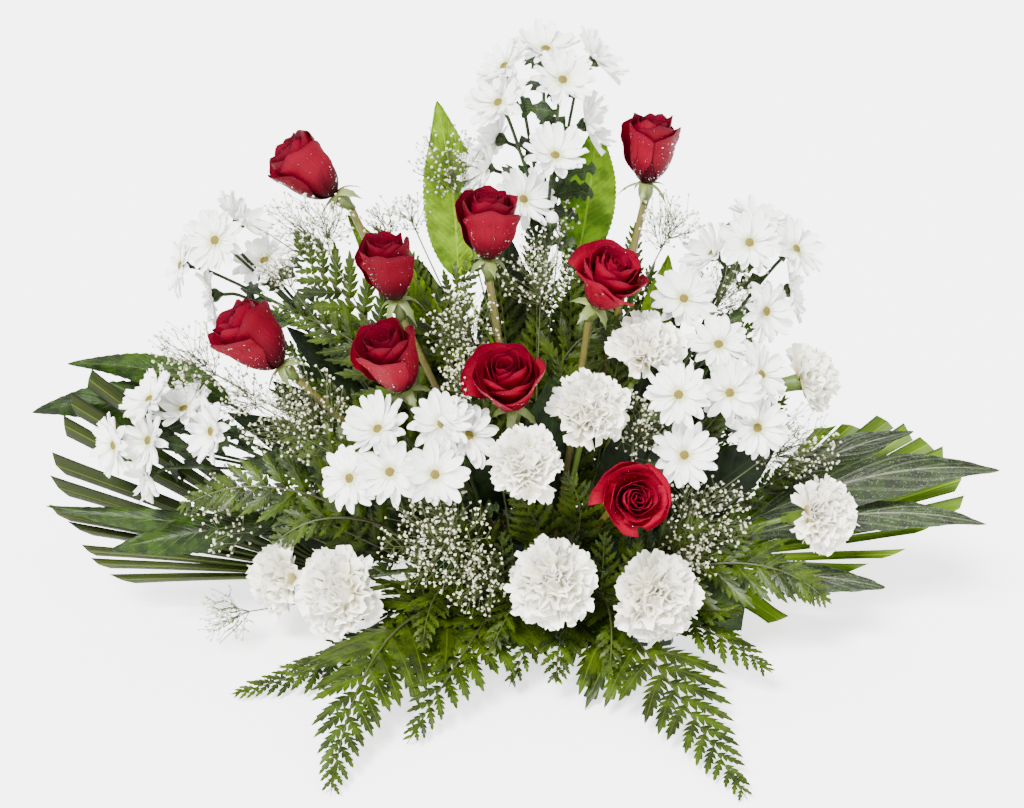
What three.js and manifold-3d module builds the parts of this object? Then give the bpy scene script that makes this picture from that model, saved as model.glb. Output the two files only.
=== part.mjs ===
// A flower centerpiece: red roses, white carnations, daisy sprays, fern, palm, broad leaves and
// baby's breath, all standing in one block of wet foam in a low tray.
// Millimetres. +X is right, +Y is back, +Z is up, and the origin is the middle of the tray's underside.
import * as THREE from 'three';
import { mergeVertices } from 'three/addons/utils/BufferGeometryUtils.js';
import Module from 'manifold-3d';

const wasm = await Module();
wasm.setup();

// The holder, and the gap between pieces that touch
const TRAY = { length: 210, width: 110, height: 38, wall: 2, base: 2, corner: 8, lip: 3, lipDepth: 5 };
const FOAM = { length: 200, width: 100, height: 75 };
const GAP = 0.3;
const FOAM_LIFT = TRAY.base + GAP;

// All stems point away from the heart of the foam. Their cut ends lie on a small ellipsoid round it,
// so that no two of them cross.
const HEART = new THREE.Vector3(0, 0, 50);
const CUT_ENDS = new THREE.Vector3(66, 31, 12);

// Stem radii and the play of a stem in its hole
const ROSE_STEM = 2.7;
const CARNATION_STEM = 2;
const SPRAY_STEM = 1.8;
const BRANCH = 1;
const THREAD = 0.7;
const PLAY = 0.45;

// Joined solids lose corners that stand off a straight edge by less than this.
const FINEST = 0.2;

// The pegs under the bunches of fronds and leaves: how far they stand in and out of the foam
const PEG_DEPTH = 26;
const PEG_OUT = 5;
const PEG_RADIUS = 2;
const PEG_LEAN = new THREE.Vector3(0.5, 1, 1);

// Thickness of the thin parts
const PETAL = 1;
const LEAF = 0.9;
const PLEAT = 3;
const TABLE_CLEAR = 1.2;

// Colours
const COLOURS = {
  tray: '#23402c', foam: '#2f5a3c', rose: '#a50d20', roseStem: '#6d7a35', carnation: '#f4efe0',
  carnationStem: '#7d9a55', daisy: '#f3f3ef', fern: '#2f5a23', palm: '#6f9a2c', limeLeaf: '#7fb02a',
  darkLeaf: '#2c5c22', greyLeaf: '#6b7f68', breath: '#dfe6d2',
};

// Each bloom: where its base is, its tilt to the right of upright, and how far it faces the viewer.
const ROSES = [
  { at: [-169, 30, 359], tilt: -46, toward: 5, width: 54, height: 60, open: 0.2 },
  { at: [80, 40, 366], tilt: 4, toward: 5, width: 50, height: 57, open: 0.15 },
  { at: [-46, -10, 317], tilt: 0, toward: 8, width: 54, height: 58, open: 0.2 },
  { at: [-118, -20, 287], tilt: -12, toward: 10, width: 48, height: 55, open: 0.2 },
  { at: [38, -35, 287], tilt: 24, toward: 38, width: 62, height: 50, open: 0.7 },
  { at: [-211, -25, 234], tilt: -42, toward: 8, width: 56, height: 60, open: 0.3 },
  { at: [-110, -70, 230], tilt: -22, toward: 30, width: 54, height: 56, open: 0.3 },
  { at: [-27, -80, 219], tilt: -8, toward: 45, width: 64, height: 52, open: 0.6 },
  { at: [59, -110, 155], tilt: 25, toward: 70, width: 62, height: 46, open: 1 },
];
const CARNATIONS = [
  { at: [33, -96, 226], tilt: 8, toward: 45, width: 66 },
  { at: [-19, -137, 197], tilt: -8, toward: 50, width: 62 },
  { at: [4, -135, 95], tilt: 0, toward: 70, width: 74 },
  { at: [86, -125, 77], tilt: 40, toward: 66, width: 76 },
  { at: [-168, -100, 71], tilt: -48, toward: 56, width: 76 },
  { at: [-224, -50, 60], tilt: -75, toward: 28, width: 66 },
  { at: [225, -70, 123], tilt: 62, toward: 42, width: 66 },
  { at: [224, 10, 211], tilt: 74, toward: 8, width: 62 },
  { at: [80, -56, 265], tilt: 16, toward: 28, width: 62 },
];

// Daisy sprays: the fork of the main stem, and each head on its branch.
const DAISY_WIDTH = 56;
const DAISY_SPRAYS = {
  daisy_spray_top: {
    fork: [0, 40, 330],
    heads: [
      { at: [-33, 60, 454], tilt: -40, toward: 20 }, { at: [-1, 75, 465], tilt: 5, toward: 25 },
      { at: [12, 45, 446], tilt: 10, toward: 50 }, { at: [39, 70, 458], tilt: 50, toward: 10 },
      { at: [-38, 40, 429], tilt: -30, toward: 40 }, { at: [31, 60, 408], tilt: 75, toward: 10 },
      { at: [6, 20, 391], tilt: 10, toward: 45 }, { at: [-38, 65, 395], tilt: -75, toward: -20 },
      { at: [-48, 50, 375], tilt: -70, toward: 20 }, { at: [-19, 36, 352], tilt: 30, toward: 50 },
    ],
  },
  daisy_spray_left_high: {
    fork: [-190, 10, 262],
    heads: [
      { at: [-261, 0, 328], tilt: -30, toward: 62 }, { at: [-245, 25, 337], tilt: 40, toward: 0 },
      { at: [-290, 10, 305], tilt: -75, toward: 20 }, { at: [-267, 14, 279], tilt: -95, toward: 10 },
      { at: [-226, 25, 304], tilt: -20, toward: 30 },
    ],
  },
  daisy_spray_left_low: {
    fork: [-210, -12, 140],
    heads: [
      { at: [-319, -10, 198], tilt: -35, toward: 20 }, { at: [-348, -20, 163], tilt: -80, toward: 40 },
      { at: [-319, -25, 169], tilt: -60, toward: 45 }, { at: [-268, -25, 177], tilt: -70, toward: 40 },
      { at: [-294, 0, 186], tilt: -15, toward: 20 }, { at: [-323, -20, 138], tilt: -100, toward: 30 },
    ],
  },
  daisy_spray_middle: {
    fork: [-55, -55, 110],
    heads: [
      { at: [-130, -90, 203], tilt: -20, toward: 40 }, { at: [-81, -100, 211], tilt: 10, toward: 50 },
      { at: [-151, -105, 169], tilt: -50, toward: 55 }, { at: [-120, -115, 178], tilt: -10, toward: 60 },
      { at: [-86, -120, 178], tilt: 15, toward: 62 }, { at: [-61, -100, 202], tilt: 40, toward: 45 },
    ],
  },
  daisy_spray_right_high: {
    fork: [105, 3, 210],
    heads: [
      { at: [159, 0, 326], tilt: 5, toward: 58 }, { at: [197, 10, 318], tilt: 45, toward: 35 },
      { at: [171, 35, 335], tilt: 15, toward: 10 }, { at: [134, 25, 310], tilt: -50, toward: 10 },
      { at: [174, 0, 270], tilt: 70, toward: 50 }, { at: [109, 0, 280], tilt: -5, toward: 55 },
      { at: [196, 25, 280], tilt: 80, toward: 10 },
    ],
  },
  daisy_spray_right_middle: {
    fork: [75, -28, 140],
    heads: [
      { at: [134, -35, 253], tilt: 0, toward: 45 }, { at: [141, -60, 222], tilt: 10, toward: 62 },
      { at: [99, -90, 231], tilt: -15, toward: 55 }, { at: [167, -40, 230], tilt: 50, toward: 30 },
      { at: [163, -65, 195], tilt: 35, toward: 62 }, { at: [104, -95, 184], tilt: 10, toward: 65 },
    ],
  },
};

// Fern fronds: where the blade starts, a point that it bends by, its tip, its longest leaflet and
// the way its upper face looks. Each bunch has one peg in the foam.
const UPWARD = [0, -0.25, 1];
const OUTWARD = [0, -1, 0.35];
const FERNS = {
  fern_front_right: {
    peg: [42, -50, 48],
    fronds: [
      { path: [[43, -66, 47], [85, -150, 30], [137, -295, 4]], width: 88, face: UPWARD },
      { path: [[60, -64, 46], [115, -95, 42], [172, -150, 26]], width: 52, face: UPWARD },
      { path: [[25, -66, 46], [12, -105, 42], [6, -160, 22]], width: 46, face: UPWARD },
      { path: [[75, -60, 62], [160, -85, 88], [222, -92, 58]], width: 60, face: [0.1, -0.75, 0.65] },
    ],
  },
  fern_front_left: {
    peg: [-42, -50, 48],
    fronds: [
      { path: [[-37, -66, 46], [-60, -130, 42], [-105, -222, 6]], width: 70, face: UPWARD },
      { path: [[-70, -64, 47], [-130, -150, 44], [-155, -290, 4]], width: 88, face: UPWARD },
    ],
  },
  fern_left: {
    peg: [-100, -30, 62],
    fronds: [
      { path: [[-150, -58, 118], [-225, -75, 150], [-293, -62, 124]], width: 44, face: [-0.1, -0.8, 0.6] },
      { path: [[-128, -58, 108], [-180, -90, 120], [-222, -95, 80]], width: 38, face: OUTWARD },
      { path: [[-118, -45, 128], [-165, -50, 165], [-218, -35, 188]], width: 44, face: OUTWARD },
    ],
  },
  fern_upper: {
    peg: [-50, 12, 77.3],
    fronds: [
      { path: [[-110, 8, 210], [-170, 8, 290], [-238, 12, 340]], width: 50, face: OUTWARD },
      { path: [[-105, 0, 190], [-160, 0, 248], [-220, -4, 272]], width: 44, face: OUTWARD },
      { path: [[-75, 5, 220], [-82, 2, 268], [-50, 0, 316]], width: 40, face: OUTWARD },
      { path: [[5, 2, 190], [20, 2, 238], [62, -2, 262]], width: 44, face: OUTWARD },
    ],
  },
  fern_back: {
    peg: [10, 50, 60],
    fronds: [
      { path: [[55, 66, 62], [110, 105, 110], [165, 105, 190]], width: 60, face: [0.2, 1, 0.4] },
      { path: [[-50, 66, 62], [-110, 105, 110], [-165, 105, 190]], width: 60, face: [-0.2, 1, 0.4] },
      { path: [[5, 68, 62], [0, 112, 120], [-5, 110, 215]], width: 60, face: [0, 1, 0.4] },
    ],
  },
};

// Palm leaves: the point where the strips meet, and the middle of each strip's cut end.
const PALMS = {
  palm_left: {
    hub: [-168, -8, 40],
    bend: -6,
    tips: [
      [-378, 30, 206], [-394, 28, 186], [-403, 25, 165], [-414, 20, 137], [-412, 16, 113],
      [-408, 12, 93], [-396, 8, 77], [-384, 4, 63], [-374, 0, 50], [-358, -4, 38],
    ],
  },
  palm_right: {
    hub: [122, -6, 56],
    bend: 6,
    tips: [
      [236, 30, 162], [258, 28, 170], [284, 26, 168], [303, 22, 161], [322, 17, 154], [338, 12, 144],
      [354, 6, 126], [354, 0, 106], [318, -12, 86], [287, -22, 72], [254, -32, 58], [227, -42, 42],
      [190, -52, 22],
    ],
  },
};

// Broad leaves: base, a point that the leaf bends by, tip, greatest width and the way its face looks.
const LEAVES = {
  leaves_top: {
    peg: [8, 30, 77.3],
    colour: 'limeLeaf',
    blades: [
      { path: [[-82, 45, 285], [-92, 62, 350], [-98, 70, 425]], width: 62, face: OUTWARD },
      { path: [[24, 56, 286], [38, 82, 346], [46, 94, 402]], width: 54, face: OUTWARD },
      { path: [[-84, 34, 235], [-118, 34, 280], [-160, 42, 338]], width: 40, face: OUTWARD },
      { path: [[78, 26, 230], [92, 28, 268], [98, 30, 308]], width: 26, face: OUTWARD },
    ],
  },
  leaves_left: {
    peg: [-100, 20, 64],
    colour: 'darkLeaf',
    blades: [
      { path: [[-270, 34, 154], [-345, 36, 178], [-424, 24, 175]], width: 46, face: OUTWARD },
      { path: [[-262, 40, 176], [-320, 42, 204], [-394, 34, 214]], width: 34, face: OUTWARD },
      { path: [[-215, -34, 104], [-290, -50, 98], [-350, -50, 84]], width: 36, face: [0, -0.8, 0.6] },
      { path: [[-205, -16, 86], [-320, -16, 96], [-412, -4, 103]], width: 26, face: [0, -0.8, 0.6] },
    ],
  },
  leaves_right: {
    peg: [100, 12, 48],
    colour: 'greyLeaf',
    blades: [
      { path: [[180, 4, 118], [240, -2, 164], [306, -12, 174]], width: 40, face: [-0.2, -0.75, 0.65] },
      { path: [[175, -14, 104], [270, -26, 150], [364, -32, 146]], width: 48, face: [-0.1, -0.75, 0.65] },
      { path: [[170, -12, 82], [265, -26, 108], [354, -44, 104]], width: 44, face: [-0.1, -0.75, 0.65] },
      { path: [[165, -44, 62], [220, -66, 68], [270, -74, 72]], width: 32, face: [-0.1, -0.75, 0.65] },
    ],
  },
};

// Baby's breath: the middle of each cloud of florets and the cloud's radius.
const BREATH = {
  babys_breath_top: {
    peg: [-8, 4, 77.3],
    clouds: [
      { at: [-78, 60, 375], size: 29 }, { at: [-109, 20, 344], size: 16 }, { at: [-130, 20, 340], size: 16 },
      { at: [11, 40, 334], size: 16 }, { at: [99, 30, 333], size: 25 }, { at: [-6, -10, 303], size: 31 },
    ],
  },
  babys_breath_left: {
    peg: [-70, 12, 77.3],
    clouds: [
      { at: [-187, 10, 338], size: 33 }, { at: [-212, -4, 302], size: 18 }, { at: [-287, 0, 229], size: 30 },
      { at: [-250, 0, 200], size: 22 }, { at: [-196, -40, 196], size: 42 },
    ],
  },
  babys_breath_low_left: {
    peg: [-100, -34, 41],
    clouds: [
      { at: [-252, -34, 110], size: 34 }, { at: [-258, -62, 32], size: 22 },
    ],
  },
  babys_breath_middle: {
    peg: [-24, -50, 68],
    clouds: [
      { at: [-83, -128, 130], size: 42 }, { at: [-53, -118, 88], size: 26 },
      { at: [-56, -84, 240], size: 25 }, { at: [-66, -44, 271], size: 29 },
    ],
  },
  babys_breath_right: {
    peg: [64, -50, 70],
    clouds: [
      { at: [76, -70, 196], size: 28 }, { at: [124, -84, 132], size: 33 }, { at: [110, -92, 96], size: 22 },
      { at: [197, -24, 164], size: 34 }, { at: [146, 16, 284], size: 28 },
    ],
  },
};

// Small helpers
const point = ([x, y, z]) => new THREE.Vector3(x, y, z);
const radians = THREE.MathUtils.degToRad;
const lerp = THREE.MathUtils.lerp;
const UP = new THREE.Vector3(0, 0, 1);

function seeded(seed) {
  let state = seed;
  return () => {
    state = (state * 1664525 + 1013904223) % 4294967296;
    return state / 4294967296;
  };
}

// The way that a bloom faces, from its tilt to the right and its turn toward the viewer.
function facing({ tilt, toward }) {
  const side = radians(tilt);
  const front = radians(toward);
  return new THREE.Vector3(
    Math.sin(side) * Math.cos(front), -Math.sin(front), Math.cos(side) * Math.cos(front));
}

// Solids
function solidOf(geometry) {
  const bare = new THREE.BufferGeometry();
  bare.setAttribute('position', geometry.getAttribute('position').clone());
  bare.setIndex(geometry.getIndex());
  const merged = mergeVertices(bare, 1e-4);
  const triVerts = [];
  const index = merged.index.array;
  for (let i = 0; i < index.length; i += 3) {
    const [a, b, c] = [index[i], index[i + 1], index[i + 2]];
    if (a !== b && b !== c && c !== a) triVerts.push(a, b, c);
  }
  return new wasm.Manifold(new wasm.Mesh({
    numProp: 3,
    tolerance: FINEST,
    vertProperties: new Float32Array(merged.attributes.position.array),
    triVerts: new Uint32Array(triVerts),
  }));
}

function geometryOf(solid) {
  const { vertProperties, triVerts } = solid.getMesh();
  const geometry = new THREE.BufferGeometry();
  geometry.setAttribute('position', new THREE.BufferAttribute(new Float32Array(vertProperties), 3));
  geometry.setIndex(new THREE.BufferAttribute(new Uint32Array(triVerts), 1));
  const flat = geometry.toNonIndexed();
  flat.computeVertexNormals();
  return flat;
}

const fuse = (solids) => solids.reduce((whole, piece) => whole.add(piece));

// The biggest of the pieces that a solid falls into: loose scraps are dropped.
function mainBody(solid) {
  return solid.decompose().reduce((best, piece) => (piece.volume() > best.volume() ? piece : best));
}

// What is already placed, so that a later piece can be bent clear of it.
const claimed = [];

function claim(...solids) {
  for (const solid of solids) claimed.push({ solid, box: solid.boundingBox() });
}

function boxesMeet(one, other) {
  return [0, 1, 2].every((k) => one.min[k] < other.max[k] && other.min[k] < one.max[k]);
}

// How many triangles a solid has in common with others, as a measure of how much it crosses them.
function crossing(solid, others) {
  const box = solid.boundingBox();
  const near = others.filter((held) => boxesMeet(box, held.box));
  return near.reduce((sum, held) => sum + solid.intersect(held.solid).numTri(), 0);
}

function isClear(solid) {
  return crossing(solid, claimed) === 0;
}

// Collects the corners and faces of one closed skin. For a thin blade, an edge corner is shared by
// both faces, and an inner one stands half the thickness off the middle surface on each of them.
class Skin {
  constructor() {
    this.corners = [];
    this.faces = [];
  }

  edge(place) {
    this.corners.push(place);
    return [this.corners.length - 1, this.corners.length - 1];
  }

  inner(place, normal, thickness) {
    const offset = normal.clone().multiplyScalar(thickness / 2);
    this.corners.push(place.clone().add(offset), place.clone().sub(offset));
    return [this.corners.length - 2, this.corners.length - 1];
  }

  face(a, b, c) {
    this.faces.push([a[0], b[0], c[0]], [a[1], c[1], b[1]]);
  }

  // Carries a ring of corners on through more rings, and closes it flat or in a point.
  grow(from, rings, point) {
    let upper = from;
    for (const corners of rings) {
      const lower = corners.map((spot) => this.edge(spot)[0]);
      lower.forEach((corner, k) => {
        const next = (k + 1) % lower.length;
        this.faces.push([upper[next], upper[k], corner], [upper[next], corner, lower[next]]);
      });
      upper = lower;
    }
    if (point) {
      const end = this.edge(point)[0];
      upper.forEach((corner, k) => this.faces.push([upper[(k + 1) % upper.length], corner, end]));
    } else {
      for (let k = 1; k + 1 < upper.length; k++) this.faces.push([upper[0], upper[k + 1], upper[k]]);
    }
  }

  solid() {
    const geometry = new THREE.BufferGeometry();
    const position = this.corners.flatMap((corner) => corner.toArray());
    geometry.setAttribute('position', new THREE.Float32BufferAttribute(position, 3));
    geometry.setIndex(this.faces.flat());
    const solid = solidOf(geometry);
    if (solid.volume() > 0) return solid;
    geometry.setIndex(this.faces.flatMap(([a, b, c]) => [a, c, b]));
    return solidOf(geometry);
  }
}

// Rings of corners square to a path, each carried on from the last without a twist.
function ringsAlong(points, radii, sides, firstAcross = new THREE.Vector3(0.31, 0.83, 0.47)) {
  const path = new THREE.CatmullRomCurve3(points);
  let across = firstAcross;
  return points.map((middle, k) => {
    const along = path.getTangent(k / (points.length - 1));
    across = across.clone().addScaledVector(along, -across.dot(along)).normalize();
    const other = across.clone().cross(along);
    const radius = radii[k] ?? radii.at(-1);
    return Array.from({ length: sides }, (_, j) => {
      const turn = (j * 2 * Math.PI) / sides;
      return middle.clone().addScaledVector(across, Math.cos(turn) * radius)
        .addScaledVector(other, Math.sin(turn) * radius);
    });
  });
}

// A tube with few sides and a ring at each of the given points.
function tube(points, radii, sides) {
  const skin = new Skin();
  const [first, ...rest] = ringsAlong(points, radii, sides);
  const start = first.map((spot) => skin.edge(spot)[0]);
  for (let k = 1; k + 1 < sides; k++) skin.faces.push([start[0], start[k], start[k + 1]]);
  skin.grow(start, rest);
  return skin.solid();
}

function slopeOf(place, u, v) {
  const step = 1e-3;
  const across = place(u + step, v).sub(place(u - step, v));
  const along = place(u, v + step).sub(place(u, v - step));
  return across.cross(along).normalize();
}

// A petal over a grid of cells, drawn in from a point at its root. place(u, v) gives its middle
// surface for u and v from 0 to 1.
function gridPetal(cellsAcross, cellsAlong, place, thickness) {
  const skin = new Skin();
  const root = skin.edge(place(0.5, 0));
  const rows = [];
  for (let j = 1; j <= cellsAlong; j++) {
    rows.push(Array.from({ length: cellsAcross + 1 }, (_, i) => {
      const [u, v] = [i / cellsAcross, j / cellsAlong];
      const isEdge = i === 0 || i === cellsAcross || j === cellsAlong;
      return isEdge ? skin.edge(place(u, v)) : skin.inner(place(u, v), slopeOf(place, u, v), thickness);
    }));
  }
  for (let i = 0; i < cellsAcross; i++) {
    skin.face(root, rows[0][i + 1], rows[0][i]);
    for (let j = 0; j + 1 < rows.length; j++) {
      const [a, b, c, d] = [rows[j][i], rows[j][i + 1], rows[j + 1][i + 1], rows[j + 1][i]];
      if (i >= cellsAcross / 2) {
        skin.face(a, b, c);
        skin.face(a, c, d);
      } else {
        skin.face(a, b, d);
        skin.face(b, c, d);
      }
    }
  }
  return skin.solid();
}

// A ring or fan of petals or strips round a hub, cut from one thin sheet. place(a, v) gives the
// middle surface: a counts the strips, and v runs from the hub to the tips. A ring can have a
// stalk under it: the rings of corners that it runs through, from the collar to its end.
function rosette({ count, closed, place, thickness, hubThickness, rows, tipHalf, stalk }) {
  const skin = new Skin();
  const slope = (a, v) => slopeOf(place, a, v).negate();
  const centre = skin.inner(place(count / 2, 0), slope(0, 0.02), hubThickness);
  const valleys = [];
  for (let j = 0; j <= count; j++) {
    valleys.push(closed && j === count ? valleys[0] : skin.edge(place(j, rows[0].v)));
  }
  if (!closed) {
    skin.faces.push([valleys[0][0], ...centre], [centre[0], valleys[count][0], centre[1]]);
  }
  const collar = stalk?.[0].map((spot) => skin.edge(spot)[0]);
  for (let j = 0; j < count; j++) {
    const ribAt = (row) => skin.inner(place(j + 0.5, row.rib), slope(j + 0.5, row.rib), thickness);
    let left = valleys[j];
    let right = valleys[j + 1];
    let rib = ribAt(rows[0]);
    if (stalk) {
      const k = Math.floor((j * collar.length) / count);
      const next = Math.floor(((j + 1) * collar.length) / count) % collar.length;
      skin.faces.push([centre[0], left[0], rib[0]], [centre[0], rib[0], right[0]]);
      skin.faces.push([collar[k], rib[1], left[1]], [collar[next], right[1], rib[1]]);
      if (next !== k) skin.faces.push([collar[k], collar[next], rib[1]]);
    } else {
      skin.face(centre, left, rib);
      skin.face(centre, rib, right);
    }
    for (const row of rows.slice(1)) {
      const nextLeft = skin.edge(place(j + 0.5 - row.half, row.v));
      const nextRight = skin.edge(place(j + 0.5 + row.half, row.v));
      const nextRib = ribAt(row);
      skin.face(left, nextLeft, nextRib);
      skin.face(left, nextRib, rib);
      skin.face(rib, nextRib, right);
      skin.face(right, nextRib, nextRight);
      [left, right, rib] = [nextLeft, nextRight, nextRib];
    }
    const tipLeft = skin.edge(place(j + 0.5 - tipHalf, 1));
    const tipRight = tipHalf ? skin.edge(place(j + 0.5 + tipHalf, 1)) : tipLeft;
    skin.face(left, tipLeft, rib);
    if (tipHalf) skin.face(tipLeft, tipRight, rib);
    skin.face(tipRight, right, rib);
  }
  if (stalk) skin.grow(collar, stalk.slice(1));
  return skin.solid();
}

// A body with deep folds: rings of corners from a bottom point to a top point. Every second ring
// is a rim with twice as many corners as the fold below it.
function foldedBody(bottom, rings, top) {
  const skin = new Skin();
  const index = rings.map((corners) => corners.map((spot) => skin.edge(spot)[0]));
  const [low, high] = [skin.edge(bottom)[0], skin.edge(top)[0]];
  const count = rings[0].length;
  index[0].forEach((corner, j) => skin.faces.push([low, index[0][(j + 1) % count], corner]));
  for (let k = 0; k + 1 < rings.length; k++) {
    const rising = rings[k].length === count;
    const [fold, rim] = rising ? [index[k], index[k + 1]] : [index[k + 1], index[k]];
    for (let j = 0; j < count; j++) {
      const [a, b] = [fold[j], fold[(j + 1) % count]];
      const [p, q, r] = [rim[2 * j], rim[2 * j + 1], rim[(2 * j + 2) % (2 * count)]];
      const band = [[a, q, p], [a, b, q], [q, b, r]];
      skin.faces.push(...(rising ? band : band.map(([x, y, z]) => [x, z, y])));
    }
  }
  const last = index.at(-1);
  last.forEach((corner, j) => skin.faces.push([corner, last[(j + 1) % last.length], high]));
  return skin.solid();
}

function ring(count, radius, height, spin = 0) {
  return Array.from({ length: count }, (_, j) => {
    const turn = spin + (j * 2 * Math.PI) / count;
    const out = typeof radius === 'function' ? radius(j) : radius;
    const up = typeof height === 'function' ? height(j) : height;
    return new THREE.Vector3(out * Math.cos(turn), out * Math.sin(turn), up);
  });
}

// The frame of a bloom: its base on the origin, its axis upright, and turned about that axis.
function frameAt(at, axis, spin = 0) {
  const turn = new THREE.Quaternion().setFromUnitVectors(UP, axis)
    .multiply(new THREE.Quaternion().setFromAxisAngle(UP, spin));
  return new THREE.Matrix4().compose(at, turn, new THREE.Vector3(1, 1, 1));
}

// Stems
// The cut end of a stem that reaches a place, and the direction in which it leaves the foam.
function rayTo(place) {
  const reach = place.clone().sub(HEART);
  let low = 0;
  let high = 1000;
  const directionAt = (s) => new THREE.Vector3(
    reach.x / (CUT_ENDS.x + s), reach.y / (CUT_ENDS.y + s), reach.z / (CUT_ENDS.z + s));
  for (let k = 0; k < 50; k++) {
    const middle = (low + high) / 2;
    if (directionAt(middle).length() > 1) low = middle;
    else high = middle;
  }
  const direction = directionAt(low).normalize();
  return { start: HEART.clone().add(direction.clone().multiply(CUT_ENDS)), direction, length: low };
}

// How far a ray from inside the foam runs before it comes out.
function wayOut(start, direction) {
  const half = [FOAM.length / 2, FOAM.width / 2, FOAM.height / 2];
  const middle = [0, 0, FOAM_LIFT + FOAM.height / 2];
  const from = start.toArray();
  return Math.min(...direction.toArray().map((d, k) => (
    Math.abs(d) < 1e-6 ? Infinity : (middle[k] + Math.sign(d) * half[k] - from[k]) / d)));
}

const holes = [];
const HOLE_SIDES = 4;

function drill(start, direction, radius) {
  const clear = (radius + PLAY) / Math.cos(Math.PI / HOLE_SIDES);
  const from = start.clone().addScaledVector(direction, -GAP);
  const to = start.clone().addScaledVector(direction, wayOut(start, direction) + 4);
  holes.push(tube([from, to], [clear], HOLE_SIDES));
}

// The path of a stem from its bloom down to its cut end. It bends only near the bloom, where it
// meets the bloom's axis, and its calyx lists how far below the bloom it has which radius.
function stemPath(base, axis, radius, calyx) {
  const neck = base.clone().addScaledVector(axis, -calyx.at(-1).below);
  const { start, direction, length } = rayTo(neck);
  const out = wayOut(start, direction) + 6;
  drill(start, direction, radius);
  return {
    points: [
      ...calyx.map(({ below }) => base.clone().addScaledVector(axis, -below)),
      start.clone().addScaledVector(direction, lerp(out, length, 0.55)),
      start.clone().addScaledVector(direction, out),
      start,
    ],
    radii: [...calyx.map((step) => step.radius), radius],
  };
}

// A peg that stands in the foam under a bunch of fronds or leaves.
function pegFor(spot) {
  const into = spot.clone().sub(HEART).multiply(PEG_LEAN).normalize();
  const start = spot.clone().addScaledVector(into, -PEG_DEPTH);
  const top = spot.clone().addScaledVector(into, PEG_OUT);
  drill(start, into, PEG_RADIUS);
  return { top, solid: tube([start, top], [PEG_RADIUS], 4) };
}

// The first of some small bends at which a stalk stays clear of all that is already placed.
const BENDS = [0, 6, 12, 18, 25, 33, 42].flatMap((far) => Array.from({ length: far ? 8 : 1 }, (_, k) => {
  const turn = (k * Math.PI) / 4;
  return [far * Math.cos(turn), far * Math.sin(turn)];
}));

function clearRoute(from, to, radius, rise) {
  const along = to.clone().sub(from);
  const side = along.clone().cross(UP).normalize();
  const upper = side.clone().cross(along).normalize();
  const lift = rise * along.length();
  const middleAt = ([a, b]) => from.clone().lerp(to, 0.5)
    .addScaledVector(upper, lift + a).addScaledVector(side, b);
  const bend = BENDS.find((b) => {
    const middle = middleAt(b);
    const path = [from.clone().lerp(middle, 0.3), middle, to.clone().lerp(middle, 0.12)];
    return isClear(tube(path, [radius + 0.8], 4));
  });
  return [from, middleAt(bend ?? BENDS[0]), to];
}

// Roses
const ROSE_OUTER = 5;
const ROSE_WHORL = 5;
const SEPALS = 5;
const ROSE_CALYX = [{ below: 3.5, radius: 5 }, { below: 9, radius: 6 }, { below: 17, radius: ROSE_STEM }];

function rosePetal({ angle, spread, belly, rim, height, lift, skew }) {
  const place = (u, v) => {
    const side = (u - 0.5) * Math.min(1, 2 * v);
    const turn = angle + side * spread;
    const radius = v < 0.5 ? lerp(2, belly, 2 * v) : lerp(belly, rim, 2 * v - 1);
    const drop = 4 * side * side * height * 0.14 * v;
    const out = radius - side * skew;
    return new THREE.Vector3(out * Math.cos(turn), out * Math.sin(turn), lift + height * v - drop);
  };
  return gridPetal(2, 2, place, PETAL);
}

function roseBloom({ width, height, open }, random) {
  const outer = width / 2;
  const spin = random() * Math.PI;
  const rim = (radius, top, turn) => ring(
    2 * ROSE_WHORL, (j) => outer * (radius + (j % 2 ? 0.06 : 0)), (j) => height * (top + (j % 2 ? 0.06 : 0)),
    spin + turn);
  const fold = (radius, top, turn) => ring(ROSE_WHORL, outer * radius, height * top, spin + turn);
  const whorl = foldedBody(new THREE.Vector3(0, 0, GAP), [
    ring(ROSE_WHORL, 5.5, GAP, spin),
    rim(0.55, 0.84, 0), fold(0.4, 0.74, 0.3),
    rim(0.28, 0.92, 0.3), fold(0.12, 0.82, 0.6),
  ], new THREE.Vector3(0, 0, height * 0.94));
  const petals = [];
  for (let k = 0; k < ROSE_OUTER; k++) {
    petals.push(rosePetal({
      angle: spin + (k * 2 * Math.PI) / ROSE_OUTER, spread: radians(100), belly: outer * 0.9,
      rim: outer * lerp(0.92, 1.08, open) * lerp(0.94, 1.04, random()), lift: 4,
      height: height * lerp(0.86, 0.96, random()) - 4, skew: outer * 0.24,
    }));
  }
  return fuse([whorl, ...petals]);
}

// A rose's stem with its hip and its five spread sepals
function roseStem(at, axis, random) {
  const frame = frameAt(at, axis, random() * Math.PI);
  const fall = Array.from({ length: SEPALS }, () => lerp(0.1, 0.5, random()));
  const place = (a, v) => {
    const turn = (a * 2 * Math.PI) / SEPALS;
    const out = 31 * v;
    const drop = out * fall[Math.floor(a + SEPALS) % SEPALS] * v;
    return new THREE.Vector3(out * Math.cos(turn), out * Math.sin(turn), -1 - drop).applyMatrix4(frame);
  };
  const { points, radii } = stemPath(at, axis, ROSE_STEM, ROSE_CALYX);
  const across = new THREE.Vector3(1, 0, 0).transformDirection(frame);
  return rosette({
    count: SEPALS, closed: true, place, thickness: LEAF, hubThickness: 2, rows: [{ v: 0.17, rib: 0.5 }],
    tipHalf: 0, stalk: ringsAlong(points, radii, SEPALS, across),
  });
}

// Carnations
const CARNATION_PETALS = 8;
const CARNATION_CALYX = [
  { below: 0, radius: 7.2 }, { below: 24, radius: 5.5 }, { below: 32, radius: CARNATION_STEM },
];

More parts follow.
